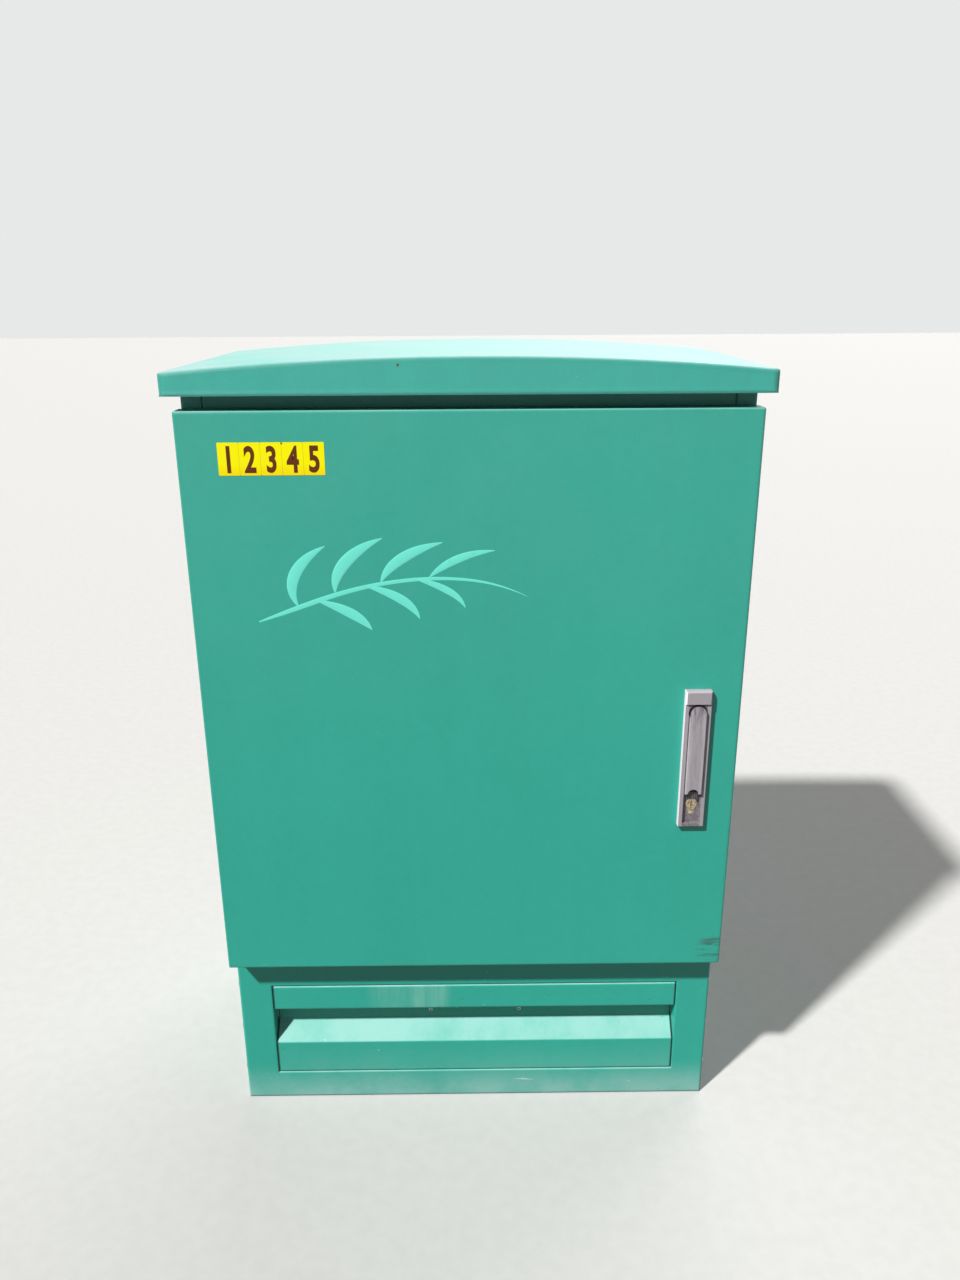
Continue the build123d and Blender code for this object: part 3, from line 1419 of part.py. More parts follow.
cable_bolt_grip = cable_bar_sheet + upright_sheet
cable_bolt = dome_bolt(plinth_bolt_radius, cable_bolt_grip, bolt_head_height, bolt_nut_height)
with BuildPart() as cable_bar_bolts:
    for sign in (-1, 1):
        with Locations(facing(sign * upright_half_spacing, cable_bar_front, cable_bolt_z, (0, -1, 0))):
            add(cable_bolt)
save(cable_bar_bolts, "cable_bar_bolts")
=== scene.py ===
import json
from math import pi, radians

import bmesh
import bpy
from mathutils import Matrix, Vector


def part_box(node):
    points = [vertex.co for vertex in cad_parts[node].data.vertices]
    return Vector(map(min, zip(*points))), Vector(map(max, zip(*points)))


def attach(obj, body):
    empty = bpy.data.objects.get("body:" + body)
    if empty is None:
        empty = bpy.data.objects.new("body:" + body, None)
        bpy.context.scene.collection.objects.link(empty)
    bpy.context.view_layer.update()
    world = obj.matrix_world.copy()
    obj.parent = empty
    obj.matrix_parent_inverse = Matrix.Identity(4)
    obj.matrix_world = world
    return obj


bl_info = {
    "name": "Roadside Utility Cabinet",
    "version": (1, 0, 0),
    "blender": (4, 5, 0),
    "location": "View3D > Sidebar > Cabinet",
    "description": "Finishes a green roadside cabinet: paint, handle, number plate, paint mark and stage",
    "category": "Object",
}

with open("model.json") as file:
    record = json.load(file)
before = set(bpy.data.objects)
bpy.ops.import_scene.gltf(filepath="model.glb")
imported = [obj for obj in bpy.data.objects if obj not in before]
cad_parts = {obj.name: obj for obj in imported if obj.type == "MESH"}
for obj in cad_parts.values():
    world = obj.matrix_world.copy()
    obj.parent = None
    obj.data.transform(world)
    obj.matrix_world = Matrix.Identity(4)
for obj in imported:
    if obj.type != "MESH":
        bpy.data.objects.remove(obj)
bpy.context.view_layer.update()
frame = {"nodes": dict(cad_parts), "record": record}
nodes = frame["nodes"]
door_low, door_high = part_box("door_skin")
lever_low, lever_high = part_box("lever")
roof_low, roof_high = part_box("roof")
cover_low, cover_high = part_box("plinth_cover")
screws_low, screws_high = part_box("plinth_cover_screws")
tray_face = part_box("handle_tray")[0].y
plinth_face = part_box("plinth_front_frame")[0].y
door_face = door_low.y
door_bottom = door_low.z

COLOR, FLOAT, VECTOR = "NodeSocketColor", "NodeSocketFloat", "NodeSocketVector"

# What a group colours until a material gives it another colour
plain_green = (0.05, 0.35, 0.26, 1.0)

# Colours that wear, stains, weather, painted highlights and painted shade give to parts of a surface
# Pale edge colour: partly rubbed wear, partly a painted highlight on the folds
edge_wear_highlight_green = (0.36, 0.70, 0.62)
dark_speck = (0.02, 0.05, 0.04)
pale_chip = (0.62, 0.84, 0.78)
# Painted shade in the gaps round the screwed cover
painted_joint_shade = (0.006, 0.028, 0.030)
# Painted shade in a screw's socket
socket_shade_disc = (0.015, 0.03, 0.035)
# Partly scratches, partly painted glints on the brass
brass_wear_glint = (0.98, 0.92, 0.74)
brass_stain = (0.16, 0.11, 0.06)
# Painted highlight on the tray's lit side
tray_lit_side = (0.86, 0.76, 0.82)
# Pale tray rims: partly wear, partly painted highlight
tray_wear_highlight_rim = (0.78, 0.70, 0.75)
# Painted shade in the tray's pocket
tray_pocket_shade = (0.050, 0.034, 0.040)
# Painted shade in the gap round the lever's arch, on the tray
tray_arch_shade = (0.012, 0.011, 0.014)
# Painted highlight along the lever's sides
lever_side_highlight = (0.53, 0.49, 0.53)
# Pale lever rims: partly wear, partly painted highlight
lever_wear_highlight_rim = (0.72, 0.66, 0.71)
# Dark upright streaks on the lever, stronger towards its top
lever_dark_streak = (0.085, 0.078, 0.092)
# Painted shade in the gap round the lever's arch, on the lever
lever_arch_shade = (0.02, 0.018, 0.022)
# Painted highlight on the flute crests
pale_flute_highlight = (0.42, 0.39, 0.42)
bleached_yellow = (0.92, 0.78, 0.05)
deep_yellow = (0.96, 0.60, 0.004)
worn_print = (0.30, 0.13, 0.03)
nick_brown = (0.16, 0.06, 0.01)


class CabinetFinish(bpy.types.PropertyGroup):
    """Colours of the cabinet's own finishes."""

    door_green: bpy.props.FloatVectorProperty(
        name="Door green",
        description="Powder coat of the door",
        subtype="COLOR",
        size=3,
        default=(0.020, 0.362, 0.280),
    )
    roof_green: bpy.props.FloatVectorProperty(
        name="Roof green",
        description="Powder coat of the roof, a little chalked",
        subtype="COLOR",
        size=3,
        default=(0.044, 0.405, 0.335),
    )
    dust: bpy.props.FloatVectorProperty(
        name="Dust",
        description="Pale dust on ledges and near the ground",
        subtype="COLOR",
        size=3,
        default=(0.32, 0.56, 0.53),
    )
    handle_grey: bpy.props.FloatVectorProperty(
        name="Handle grey",
        description="Weathered coat of the swing handle",
        subtype="COLOR",
        size=3,
        default=(0.352, 0.325, 0.362),
    )
    plate_yellow: bpy.props.FloatVectorProperty(
        name="Plate yellow",
        description="Number plate background",
        subtype="COLOR",
        size=3,
        default=(0.99, 0.93, 0.002),
    )
    digit_brown: bpy.props.FloatVectorProperty(
        name="Digit brown",
        description="Number plate digits",
        subtype="COLOR",
        size=3,
        default=(0.115, 0.026, 0.004),
    )
    mark_mint: bpy.props.FloatVectorProperty(
        name="Mark mint",
        description="Sprayed paint mark",
        subtype="COLOR",
        size=3,
        default=(0.16, 0.80, 0.66),
    )


class NumberPlateSize(bpy.types.PropertyGroup):
    """Sizes of the number plate on the door."""

    cell_width: bpy.props.FloatProperty(
        name="Cell width", description="Width of one digit's sticker", default=0.0291, unit="LENGTH"
    )
    height: bpy.props.FloatProperty(
        name="Height", description="Height of the stickers", default=0.0449, unit="LENGTH"
    )
    left: bpy.props.FloatProperty(
        name="Left", description="Left edge, from the door's middle", default=-0.3435, unit="LENGTH"
    )
    low: bpy.props.FloatProperty(
        name="Low", description="Lower edge above the door's lower edge", default=0.8041, unit="LENGTH"
    )
    thickness: bpy.props.FloatProperty(
        name="Thickness", description="Thickness of the vinyl", default=0.0003, unit="LENGTH"
    )
    digit_height: bpy.props.FloatProperty(
        name="Digit height", description="Height of a printed digit", default=0.0368, unit="LENGTH"
    )
    digit_squeeze: bpy.props.FloatProperty(
        name="Digit squeeze", description="Width of a digit against the plain typeface", default=0.66
    )
    print_thickness: bpy.props.FloatProperty(
        name="Print thickness", description="Thickness of the print", default=0.0002, unit="LENGTH"
    )
    digits: bpy.props.StringProperty(
        name="Digits", description="Plain running digits on the plate", default="12345"
    )


class PaintMarkSize(bpy.types.PropertyGroup):
    """Sizes and place of the plain paint mark on the door."""

    left: bpy.props.FloatProperty(
        name="Left", description="Left end, from the door's middle", default=-0.305, unit="LENGTH"
    )
    low: bpy.props.FloatProperty(
        name="Low", description="Lower end above the door's lower edge", default=0.580, unit="LENGTH"
    )
    width: bpy.props.FloatProperty(
        name="Width", description="Width over all", default=0.385, unit="LENGTH"
    )
    height: bpy.props.FloatProperty(
        name="Height", description="Height over all", default=0.135, unit="LENGTH"
    )
    stroke: bpy.props.FloatProperty(
        name="Stroke", description="Width of a full stroke", default=0.0095, unit="LENGTH"
    )
    thickness: bpy.props.FloatProperty(
        name="Thickness", description="Thickness of the paint", default=0.0004, unit="LENGTH"
    )


class StageSettings(bpy.types.PropertyGroup):
    """The camera's place and the lamps' levels."""

    lens: bpy.props.FloatProperty(
        name="Lens", description="Focal length for a 36 mm tall picture", default=28.39, unit="CAMERA"
    )
    camera_side: bpy.props.FloatProperty(
        name="Camera side", description="Camera's place to the right", default=0.0011, unit="LENGTH"
    )
    camera_back: bpy.props.FloatProperty(
        name="Camera back", description="Camera's distance from the door", default=1.3816, unit="LENGTH"
    )
    camera_up: bpy.props.FloatProperty(
        name="Camera up",
        description="Camera's height above the door's lower edge",
        default=1.0445,
        unit="LENGTH",
    )
    pitch: bpy.props.FloatProperty(
        name="Pitch", description="How far the camera looks down", default=radians(19.21), unit="ROTATION"
    )
    yaw: bpy.props.FloatProperty(
        name="Yaw",
        description="How far the camera looks to the right",
        default=radians(0.46),
        unit="ROTATION",
    )
    roll: bpy.props.FloatProperty(
        name="Roll",
        description="The camera's tilt about its own axis",
        default=radians(-0.32),
        unit="ROTATION",
    )
    sun: bpy.props.FloatProperty(name="Sun", description="Strength of the key lamp", default=5.65, min=0.0)
    sun_softness: bpy.props.FloatProperty(
        name="Sun softness",
        description="Width of the key lamp in the sky",
        default=radians(3.0),
        unit="ROTATION",
    )
    sun_course: bpy.props.FloatVectorProperty(
        name="Sun course",
        description="The way the key light travels: right, back and down",
        subtype="DIRECTION",
        size=3,
        default=(0.483, 0.449, -0.752),
    )
    fill: bpy.props.FloatProperty(
        name="Fill", description="Strength of the broad lamp from behind", default=2.1, min=0.0
    )
    fill_softness: bpy.props.FloatProperty(
        name="Fill softness",
        description="Width of the lamp from behind",
        default=radians(60.0),
        unit="ROTATION",
    )
    fill_course: bpy.props.FloatVectorProperty(
        name="Fill course",
        description="The way the light from behind travels: right, back and down",
        subtype="DIRECTION",
        size=3,
        default=(-0.35, -0.80, -0.48),
    )
    sky: bpy.props.FloatProperty(
        name="Sky", description="Strength of the soft surround", default=0.125, min=0.0
    )


def set_inputs(tree, node, inputs):
    """Sets a node's inputs to values, or links them to other nodes' outputs."""
    for key, value in inputs.items():
        socket = node.inputs[key]
        if isinstance(value, bpy.types.NodeSocket):
            tree.links.new(value, socket)
        elif socket.type == "RGBA" and len(value) == 3:
            socket.default_value = (*value, 1.0)
        else:
            socket.default_value = value


def place(tree, kind, inputs=None, **settings):
    """Adds a shader node, sets its properties, and sets or links its inputs."""
    node = tree.nodes.new(kind)
    for key, value in settings.items():
        setattr(node, key, value)
    set_inputs(tree, node, inputs or {})
    return node


def math(tree, operation, first, second=0.0, clamp=False):
    """One Math node and its output."""
    node = place(tree, "ShaderNodeMath", {0: first, 1: second}, operation=operation, use_clamp=clamp)
    return node.outputs[0]


def vary(tree, base, value, amount):
    """Moves a level up and down as a texture's value goes above and below its middle."""
    swing = math(tree, "MULTIPLY", math(tree, "SUBTRACT", value, 0.5), amount)
    return math(tree, "ADD", base, swing)


def vector_math(tree, operation, *values):
    """One Vector Math node's output: a number for a length or a dot product, else a vector."""
    node = place(tree, "ShaderNodeVectorMath", dict(enumerate(values)), operation=operation)
    return node.outputs["Value" if operation in ("LENGTH", "DOT_PRODUCT") else "Vector"]


def ramp(tree, value, low, high, to=(0.0, 1.0)):
    """A smooth step from one level to another, while a value goes from low to high."""
    node = place(
        tree,
        "ShaderNodeMapRange",
        {"Value": value, "From Min": low, "From Max": high, "To Min": to[0], "To Max": to[1]},
        interpolation_type="SMOOTHSTEP",
    )
    return node.outputs["Result"]


def mix(tree, factor, first, second):
    """Mixes two colours, which are inputs 6 and 7 of a Mix node."""
    return place(tree, "ShaderNodeMix", {0: factor, 6: first, 7: second}, data_type="RGBA").outputs[2]


def noise(tree, vector, scale, *, detail=4.0, roughness=0.55, distortion=0.0):
    """A noise texture's value."""
    inputs = {
        "Vector": vector,
        "Scale": scale,
        "Detail": detail,
        "Roughness": roughness,
        "Distortion": distortion,
    }
    return place(tree, "ShaderNodeTexNoise", inputs).outputs["Fac"]


def specks(tree, where, scale, radius, patch_scale, patch_level):
    """A mask of small dots, kept only where a broader noise is above its level."""
    cells = place(tree, "ShaderNodeTexVoronoi", {"Vector": where, "Scale": scale, "Randomness": 1.0})
    dot = math(tree, "LESS_THAN", cells.outputs["Distance"], radius)
    patch = math(tree, "GREATER_THAN", noise(tree, where, patch_scale, detail=2.0), patch_level)
    return math(tree, "MULTIPLY", dot, patch)


def stretched(tree, vector, x, y, z):
    """Coordinates scaled by axis, to draw a texture out."""
    return place(tree, "ShaderNodeMapping", {"Vector": vector, "Scale": (x, y, z)}).outputs[0]


def object_place(tree):
    """Where each point is in the shared frame."""
    return place(tree, "ShaderNodeTexCoord").outputs["Object"]


def axes(tree, vector):
    """A vector's X, Y and Z."""
    return place(tree, "ShaderNodeSeparateXYZ", {0: vector}).outputs


def new_group(name, inputs, outputs):
    """A shader node group with named sockets; returns the tree, what goes in and the output node."""
    tree = bpy.data.node_groups.new(name, "ShaderNodeTree")
    for label, kind, default in inputs:
        socket = tree.interface.new_socket(label, in_out="INPUT", socket_type=kind)
        if default is not None:
            socket.default_value = default
    for label, kind in outputs:
        tree.interface.new_socket(label, in_out="OUTPUT", socket_type=kind)
    return tree, tree.nodes.new("NodeGroupInput").outputs, tree.nodes.new("NodeGroupOutput")


def use_group(tree, group, inputs):
    """Places a node group in a material."""
    return place(tree, "ShaderNodeGroup", inputs, node_tree=group)


def build_powder_coat():
    """Powder coat: patches, streaks and grain of shade, an uneven gloss and an orange-peel surface."""
    tree, given, result = new_group(
        "Powder Coat",
        [
            ("Color", COLOR, plain_green),
            ("Patch", FLOAT, 0.10),
            ("Peel", FLOAT, 0.12),
            ("Gloss", FLOAT, 0.42),
            ("Edge Radius", FLOAT, 0.0008),
        ],
        [("Color", COLOR), ("Roughness", FLOAT), ("Normal", VECTOR)],
    )
    where = object_place(tree)
    broad = noise(tree, where, 3.0, detail=3.0)
    streak = noise(tree, stretched(tree, where, 26.0, 26.0, 1.6), 1.0, detail=3.0)
    shade = math(tree, "ADD", math(tree, "MULTIPLY", broad, 0.65), math(tree, "MULTIPLY", streak, 0.35))
    level = vary(tree, 1.0, shade, given["Patch"])
    fine = noise(tree, where, 420.0, detail=2.0)
    mottle = noise(tree, where, 85.0, detail=3.0, roughness=0.7)
    grain = vary(tree, vary(tree, level, fine, 0.10), mottle, 0.13)
    peel = noise(tree, where, 330.0, detail=2.0, roughness=0.5)
    rounded = place(tree, "ShaderNodeBevel", {"Radius": given["Edge Radius"]}, samples=4).outputs[0]
    bump = place(
        tree,
        "ShaderNodeBump",
        {"Height": peel, "Strength": given["Peel"], "Distance": 0.0006, "Normal": rounded},
    )
    finished = {
        "Color": vector_math(tree, "MULTIPLY", given["Color"], grain),
        "Roughness": vary(tree, given["Gloss"], broad, 0.16),
        "Normal": bump.outputs[0],
    }
    set_inputs(tree, result, finished)
    return tree


def build_dust():
    """Dust that settles on ledges and splashes up from the ground, with dark specks and pale chips."""
    tree, given, result = new_group(
        "Settled Dust",
        [
            ("Color", COLOR, plain_green),
            ("Dust", COLOR, (0.3, 0.5, 0.4, 1.0)),
            ("Ledge", FLOAT, 0.35),
            ("Splash", FLOAT, 0.5),
            ("Splash Top", FLOAT, 0.12),
            ("Specks", FLOAT, 0.3),
            ("Bleach", FLOAT, 0.3),
        ],
        [("Color", COLOR), ("Mask", FLOAT)],
    )
    coordinates = place(tree, "ShaderNodeTexCoord").outputs
    where = coordinates["Object"]
    upward = axes(tree, coordinates["Normal"])["Z"]
    height = axes(tree, where)["Z"]
    patches = noise(tree, where, 9.0, detail=6.0, roughness=0.65)
    ledge = math(tree, "MULTIPLY", ramp(tree, upward, 0.15, 0.85), given["Ledge"])
    low = ramp(tree, height, 0.0, given["Splash Top"], to=(1.0, 0.0))
    splash = math(tree, "MULTIPLY", low, given["Splash"])
    both = math(tree, "ADD", ledge, splash)
    broken = ramp(tree, patches, 0.30, 0.62, to=(0.45, 1.0))
    settled = math(tree, "MULTIPLY", both, broken, clamp=True)
    clouds = ramp(tree, patches, 0.25, 0.75, to=(0.6, 1.0))
    high = math(tree, "MULTIPLY", ramp(tree, height, 0.45, 1.30), clouds)
    bleach = math(tree, "MULTIPLY", high, given["Bleach"])
    bleached = mix(tree, bleach, given["Color"], given["Dust"])
    dusty = mix(tree, settled, bleached, given["Dust"])
    dots = specks(tree, where, scale=110.0, radius=0.12, patch_scale=37.0, patch_level=0.61)
    spotted = mix(tree, math(tree, "MULTIPLY", dots, given["Specks"]), dusty, dark_speck)
    chips = specks(tree, where, scale=71.0, radius=0.085, patch_scale=23.0, patch_level=0.60)
    chipped = mix(tree, math(tree, "MULTIPLY", chips, given["Specks"]), spotted, pale_chip)
    set_inputs(tree, result, {"Color": chipped, "Mask": settled})
    return tree


def build_scuff():
    """Rubbed and scratched marks inside a soft-edged oval on the front."""
    tree, given, result = new_group(
        "Scuffed Patch",
        [
            ("Color", COLOR, plain_green),
            ("Mark", COLOR, (0.03, 0.06, 0.05, 1.0)),
            ("Centre", VECTOR, None),
            ("Half Size", VECTOR, None),
            ("Stretch", VECTOR, None),
            ("Amount", FLOAT, 0.6),
            ("Grain", FLOAT, 60.0),
            ("Threshold", FLOAT, 0.5),
            ("Softness", FLOAT, 0.1),
        ],
        [("Color", COLOR)],
    )
    where = object_place(tree)
    offset = vector_math(tree, "SUBTRACT", where, given["Centre"])
    distance = vector_math(tree, "LENGTH", vector_math(tree, "DIVIDE", offset, given["Half Size"]))
    area = ramp(tree, distance, 0.35, 1.0, to=(1.0, 0.0))
    drawn = vector_math(tree, "MULTIPLY", where, given["Stretch"])
    lines = noise(tree, drawn, given["Grain"], detail=5.0, roughness=0.65, distortion=0.3)
    full = math(tree, "ADD", given["Threshold"], given["Softness"])
    marks = math(tree, "MULTIPLY", ramp(tree, lines, given["Threshold"], full), area)
    amount = math(tree, "MULTIPLY", marks, given["Amount"], clamp=True)
    set_inputs(tree, result, {"Color": mix(tree, amount, given["Color"], given["Mark"])})
    return tree


def build_edge_wear():
    """A mask of the folded edges, broken up along their length."""
    tree, given, result = new_group(
        "Edge Wear", [("Radius", FLOAT, 0.002), ("Low", FLOAT, 0.02), ("High", FLOAT, 0.2)], [("Mask", FLOAT)]
    )
    rounded = place(tree, "ShaderNodeBevel", {"Radius": given["Radius"]}, samples=6).outputs[0]
    plain = place(tree, "ShaderNodeNewGeometry").outputs["Normal"]
    bend = math(tree, "SUBTRACT", 1.0, vector_math(tree, "DOT_PRODUCT", rounded, plain), clamp=True)
    edge = ramp(tree, bend, given["Low"], given["High"])
    broken = ramp(tree, noise(tree, object_place(tree), 55.0), 0.30, 0.62, to=(0.35, 1.0))
    set_inputs(tree, result, {"Mask": math(tree, "MULTIPLY", edge, broken)})
    return tree


def build_metal_grain():
    """Drawn lines and blotches of plated sheet."""
    tree, given, result = new_group(
        "Metal Grain",
        [("Color", COLOR, (0.6, 0.6, 0.6, 1.0)), ("Blotch", FLOAT, 0.25), ("Gloss", FLOAT, 0.38)],
        [("Color", COLOR), ("Roughness", FLOAT), ("Normal", VECTOR)],
    )
    where = object_place(tree)
    cells = place(tree, "ShaderNodeTexVoronoi", {"Vector": where, "Scale": 55.0}).outputs["Color"]
    cell = place(tree, "ShaderNodeSeparateColor", {0: cells}).outputs[0]
    cloud = noise(tree, where, 7.0)
    blotches = math(tree, "ADD", math(tree, "MULTIPLY", cell, 0.35), math(tree, "MULTIPLY", cloud, 0.65))
    level = vary(tree, 1.0, blotches, given["Blotch"])
    drawn = noise(tree, stretched(tree, where, 1.0, 1.0, 0.05), 260.0, detail=3.0)
    bump = place(tree, "ShaderNodeBump", {"Height": drawn, "Strength": 0.10, "Distance": 0.0002})
    finished = {
        "Color": vector_math(tree, "MULTIPLY", given["Color"], level),
        "Roughness": vary(tree, given["Gloss"], blotches, 0.22),
        "Normal": bump.outputs[0],
    }
    set_inputs(tree, result, finished)
    return tree


def build_painted_joint_shade():
    """Painted shade: a dark line along the sides of the screwed cover, and a thinner one along its foot."""
    tree, given, result = new_group(
        "Painted Joint Shade", [("Color", COLOR, plain_green), ("Width", FLOAT, 0.002)], [("Color", COLOR)]
    )
    sides_against_foot = 1.8
    where = axes(tree, object_place(tree))
    side = math(tree, "SUBTRACT", cover_high.x, math(tree, "ABSOLUTE", where["X"]))
    foot = math(tree, "MULTIPLY", math(tree, "SUBTRACT", where["Z"], cover_low.z), sides_against_foot)
    nearest = math(tree, "MINIMUM", side, foot)
    dense = math(tree, "MULTIPLY", given["Width"], 0.5)
    line = ramp(tree, nearest, dense, given["Width"], to=(0.9, 0.0))
    set_inputs(tree, result, {"Color": mix(tree, line, given["Color"], painted_joint_shade)})
    return tree


def new_material(name, metallic=0.0):
    """A material with a Principled shader; returns it, its tree and the shader."""
    material = bpy.data.materials.new(name)
    material.use_nodes = True
    tree = material.node_tree
    shader = tree.nodes["Principled BSDF"]
    set_inputs(tree, shader, {"Metallic": metallic})
    return material, tree, shader


def finish_material(tree, shader, color, surface, rough=None):
    """Links a material's colour, its surface group's normal, and that group's or another roughness."""
    if rough is None:
        rough = surface.outputs["Roughness"]
    set_inputs(tree, shader, {"Base Color": color, "Roughness": rough, "Normal": surface.outputs["Normal"]})


def green_paint(groups, name, coat_look, dust_look, rub, scuffs=(), joint=0.0):
    """Green powder coat with dust, pale edges that are partly rubbed wear and partly painted highlight, any
    scuffed patches and any painted shade along a joint of a given width.
    """
    material, tree, shader = new_material(name)
    coat = use_group(tree, groups["coat"], {"Patch": 0.22, "Peel": 0.16, "Edge Radius": 0.0065, **coat_look})
    dusty = use_group(tree, groups["dust"], {"Color": coat.outputs["Color"], **dust_look})
    worn = use_group(tree, groups["edge"], {"Radius": 0.0032, "Low": 0.02, "High": 0.25})
    # Pale folds: partly rubbed wear, partly painted highlight
    edge = math(tree, "MULTIPLY", worn.outputs["Mask"], rub)
    shade = mix(tree, edge, dusty.outputs["Color"], edge_wear_highlight_green)
    for scuff in scuffs:
        shade = use_group(tree, groups["scuff"], {"Color": shade, **scuff}).outputs["Color"]
    # Painted shade along the cover's joints
    if joint:
        shade = use_group(tree, groups["joint"], {"Color": shade, "Width": joint}).outputs["Color"]
    dulled = math(tree, "MULTIPLY", dusty.outputs["Mask"], 0.3)
    rough = math(tree, "ADD", coat.outputs["Roughness"], dulled, clamp=True)
    finish_material(tree, shader, shade, coat, rough)
    return material


def plated_metal(groups, name, color, gloss):
    """Bare or plated metal."""
    material, tree, shader = new_material(name, metallic=1.0)
    grain = use_group(tree, groups["metal"], {"Color": color, "Gloss": gloss, "Blotch": 0.25})
    finish_material(tree, shader, grain.outputs["Color"], grain)
    return material


def moulded(groups, name, color, gloss, peel, patch=0.2):
    """Plastic, rubber or vinyl with a fine moulded grain."""
    material, tree, shader = new_material(name)
    coat = use_group(tree, groups["coat"], {"Color": color, "Patch": patch, "Peel": peel, "Gloss": gloss})
    finish_material(tree, shader, coat.outputs["Color"], coat)
    return material


def socket_screw(groups):
    """Weathered screw heads with a socket painted as a dark disc of shade, for the pair in the cover's
    recess.
    """
    radius = (screws_high.z - screws_low.z) / 2
    reach = (screws_high.x - screws_low.x) / 2 - radius
    middle = (screws_low + screws_high) / 2
    material, tree, shader = new_material("Cover Screws", metallic=0.6)
    grain = use_group(tree, groups["metal"], {"Color": (0.42, 0.50, 0.52), "Gloss": 0.5, "Blotch": 0.4})
    where = axes(tree, object_place(tree))
    across = math(tree, "ABSOLUTE", math(tree, "SUBTRACT", where["X"], middle.x))
    side = math(tree, "SUBTRACT", across, reach)
    up = math(tree, "SUBTRACT", where["Z"], middle.z)
    flat = place(tree, "ShaderNodeCombineXYZ", {"X": side, "Y": up}).outputs[0]
    distance = vector_math(tree, "LENGTH", flat)
    socket_floor, socket_rim = radius * 0.40, radius * 0.55
    # Painted shade: a dark disc for the shaded socket
    socket = ramp(tree, distance, socket_floor, socket_rim, to=(1.0, 0.0))
    shade = mix(tree, socket, grain.outputs["Color"], socket_shade_disc)
    finish_material(tree, shader, shade, grain)
    return material


def scratched_brass(groups):
    """Dull brass with small bright marks all over, partly scratches and partly painted glints."""
    material, tree, shader = new_material("Dull Brass", metallic=0.85)
    grain = use_group(tree, groups["metal"], {"Color": (0.56, 0.45, 0.29), "Gloss": 0.38, "Blotch": 0.9})
    where = object_place(tree)
    # Small bright marks: partly scratches, partly painted glints
    wear_glints = ramp(tree, noise(tree, where, 780.0, detail=3.0, roughness=0.7), 0.54, 0.64)
    shade = mix(tree, wear_glints, grain.outputs["Color"], brass_wear_glint)
    clouds = noise(tree, where, 300.0, detail=3.0, roughness=0.6)
    stains = ramp(tree, clouds, 0.46, 0.64, to=(0.0, 0.8))
    shade = mix(tree, stains, shade, brass_stain)
    finish_material(tree, shader, shade, grain)
    return material


def handle_place(tree, where):
    """Distances on the swing handle: from its middle line, up from its arch's centre, and from that."""
    middle = (lever_low.x + lever_high.x) / 2
    centre = lever_high.z - (lever_high.x - lever_low.x) / 2
    aside = math(tree, "SUBTRACT", where["X"], middle)
    above = math(tree, "SUBTRACT", where["Z"], centre)
    flat = place(tree, "ShaderNodeCombineXYZ", {"X": aside, "Y": above}).outputs[0]
    return math(tree, "ABSOLUTE", aside), above, vector_math(tree, "LENGTH", flat)


def shade_round_arch(tree, above, reach, width):
    """A mask of painted shade along the gap round the lever's arched end."""
    clearance = 0.0003
    fades_from, fades_to = -0.001, -0.007
    arch = (lever_high.x - lever_low.x) / 2 + clearance
    off = math(tree, "ABSOLUTE", math(tree, "SUBTRACT", reach, arch))
    line = ramp(tree, off, width * 0.55, width, to=(1.0, 0.0))
    return math(tree, "MULTIPLY", line, ramp(tree, above, fades_to, fades_from))


def pale_rims_wear_highlight(tree, groups, shade, pale, amount):
    """Makes a small piece's edges paler, partly as rubbed wear and partly as a painted highlight."""
    worn = use_group(tree, groups["edge"], {"Radius": 0.0011, "Low": 0.01, "High": 0.15})
    return mix(tree, math(tree, "MULTIPLY", worn.outputs["Mask"], amount), shade, pale)


def handle_tray_coat(groups, color):
    """The tray's coat: paler on its lit side as a painted highlight, with painted shade in the pocket and
    along the gap round the lever.
    """
    wall_from, wall_to = 0.0150, 0.0165
    pocket_inside, pocket_side, pocket_top = 0.0135, 0.0142, 0.0150
    rim, pocket_depth = 0.0008, 0.0030
    material, tree, shader = new_material("Handle Tray Coat")
    coat = use_group(tree, groups["coat"], {"Color": color, "Patch": 0.45, "Peel": 0.22, "Gloss": 0.46})
    coordinates = place(tree, "ShaderNodeTexCoord").outputs
    where = axes(tree, coordinates["Object"])
    out, above, reach = handle_place(tree, where)
    side = axes(tree, coordinates["Normal"])["X"]
    # Painted highlight on the left-facing outer wall, where the key light falls
    facing_left = ramp(tree, side, -0.75, -0.35, to=(0.95, 0.0))
    lit = math(tree, "MULTIPLY", facing_left, ramp(tree, out, wall_from, wall_to))
    shade = mix(tree, lit, coat.outputs["Color"], tray_lit_side)
    # Pale rims: partly wear, partly painted highlight
    shade = pale_rims_wear_highlight(tree, groups, shade, tray_wear_highlight_rim, 0.55)
    # Painted shade in the pocket below the lever, broken up by noise
    sunk = ramp(tree, where["Y"], tray_face + rim, tray_face + pocket_depth)
    between = ramp(tree, out, pocket_inside, pocket_side, to=(1.0, 0.0))
    below = ramp(tree, above, pocket_inside, pocket_top, to=(1.0, 0.0))
    pocket = math(tree, "MULTIPLY", sunk, math(tree, "MULTIPLY", between, below))
    shade_breakup = ramp(tree, noise(tree, coordinates["Object"], 240.0), 0.30, 0.70, to=(0.45, 0.80))
    shade = mix(tree, math(tree, "MULTIPLY", pocket, shade_breakup), shade, tray_pocket_shade)
    # Painted shade along the gap round the lever's arch
    shade = mix(tree, shade_round_arch(tree, above, reach, 0.0019), shade, tray_arch_shade)
    finish_material(tree, shader, shade, coat)
    return material


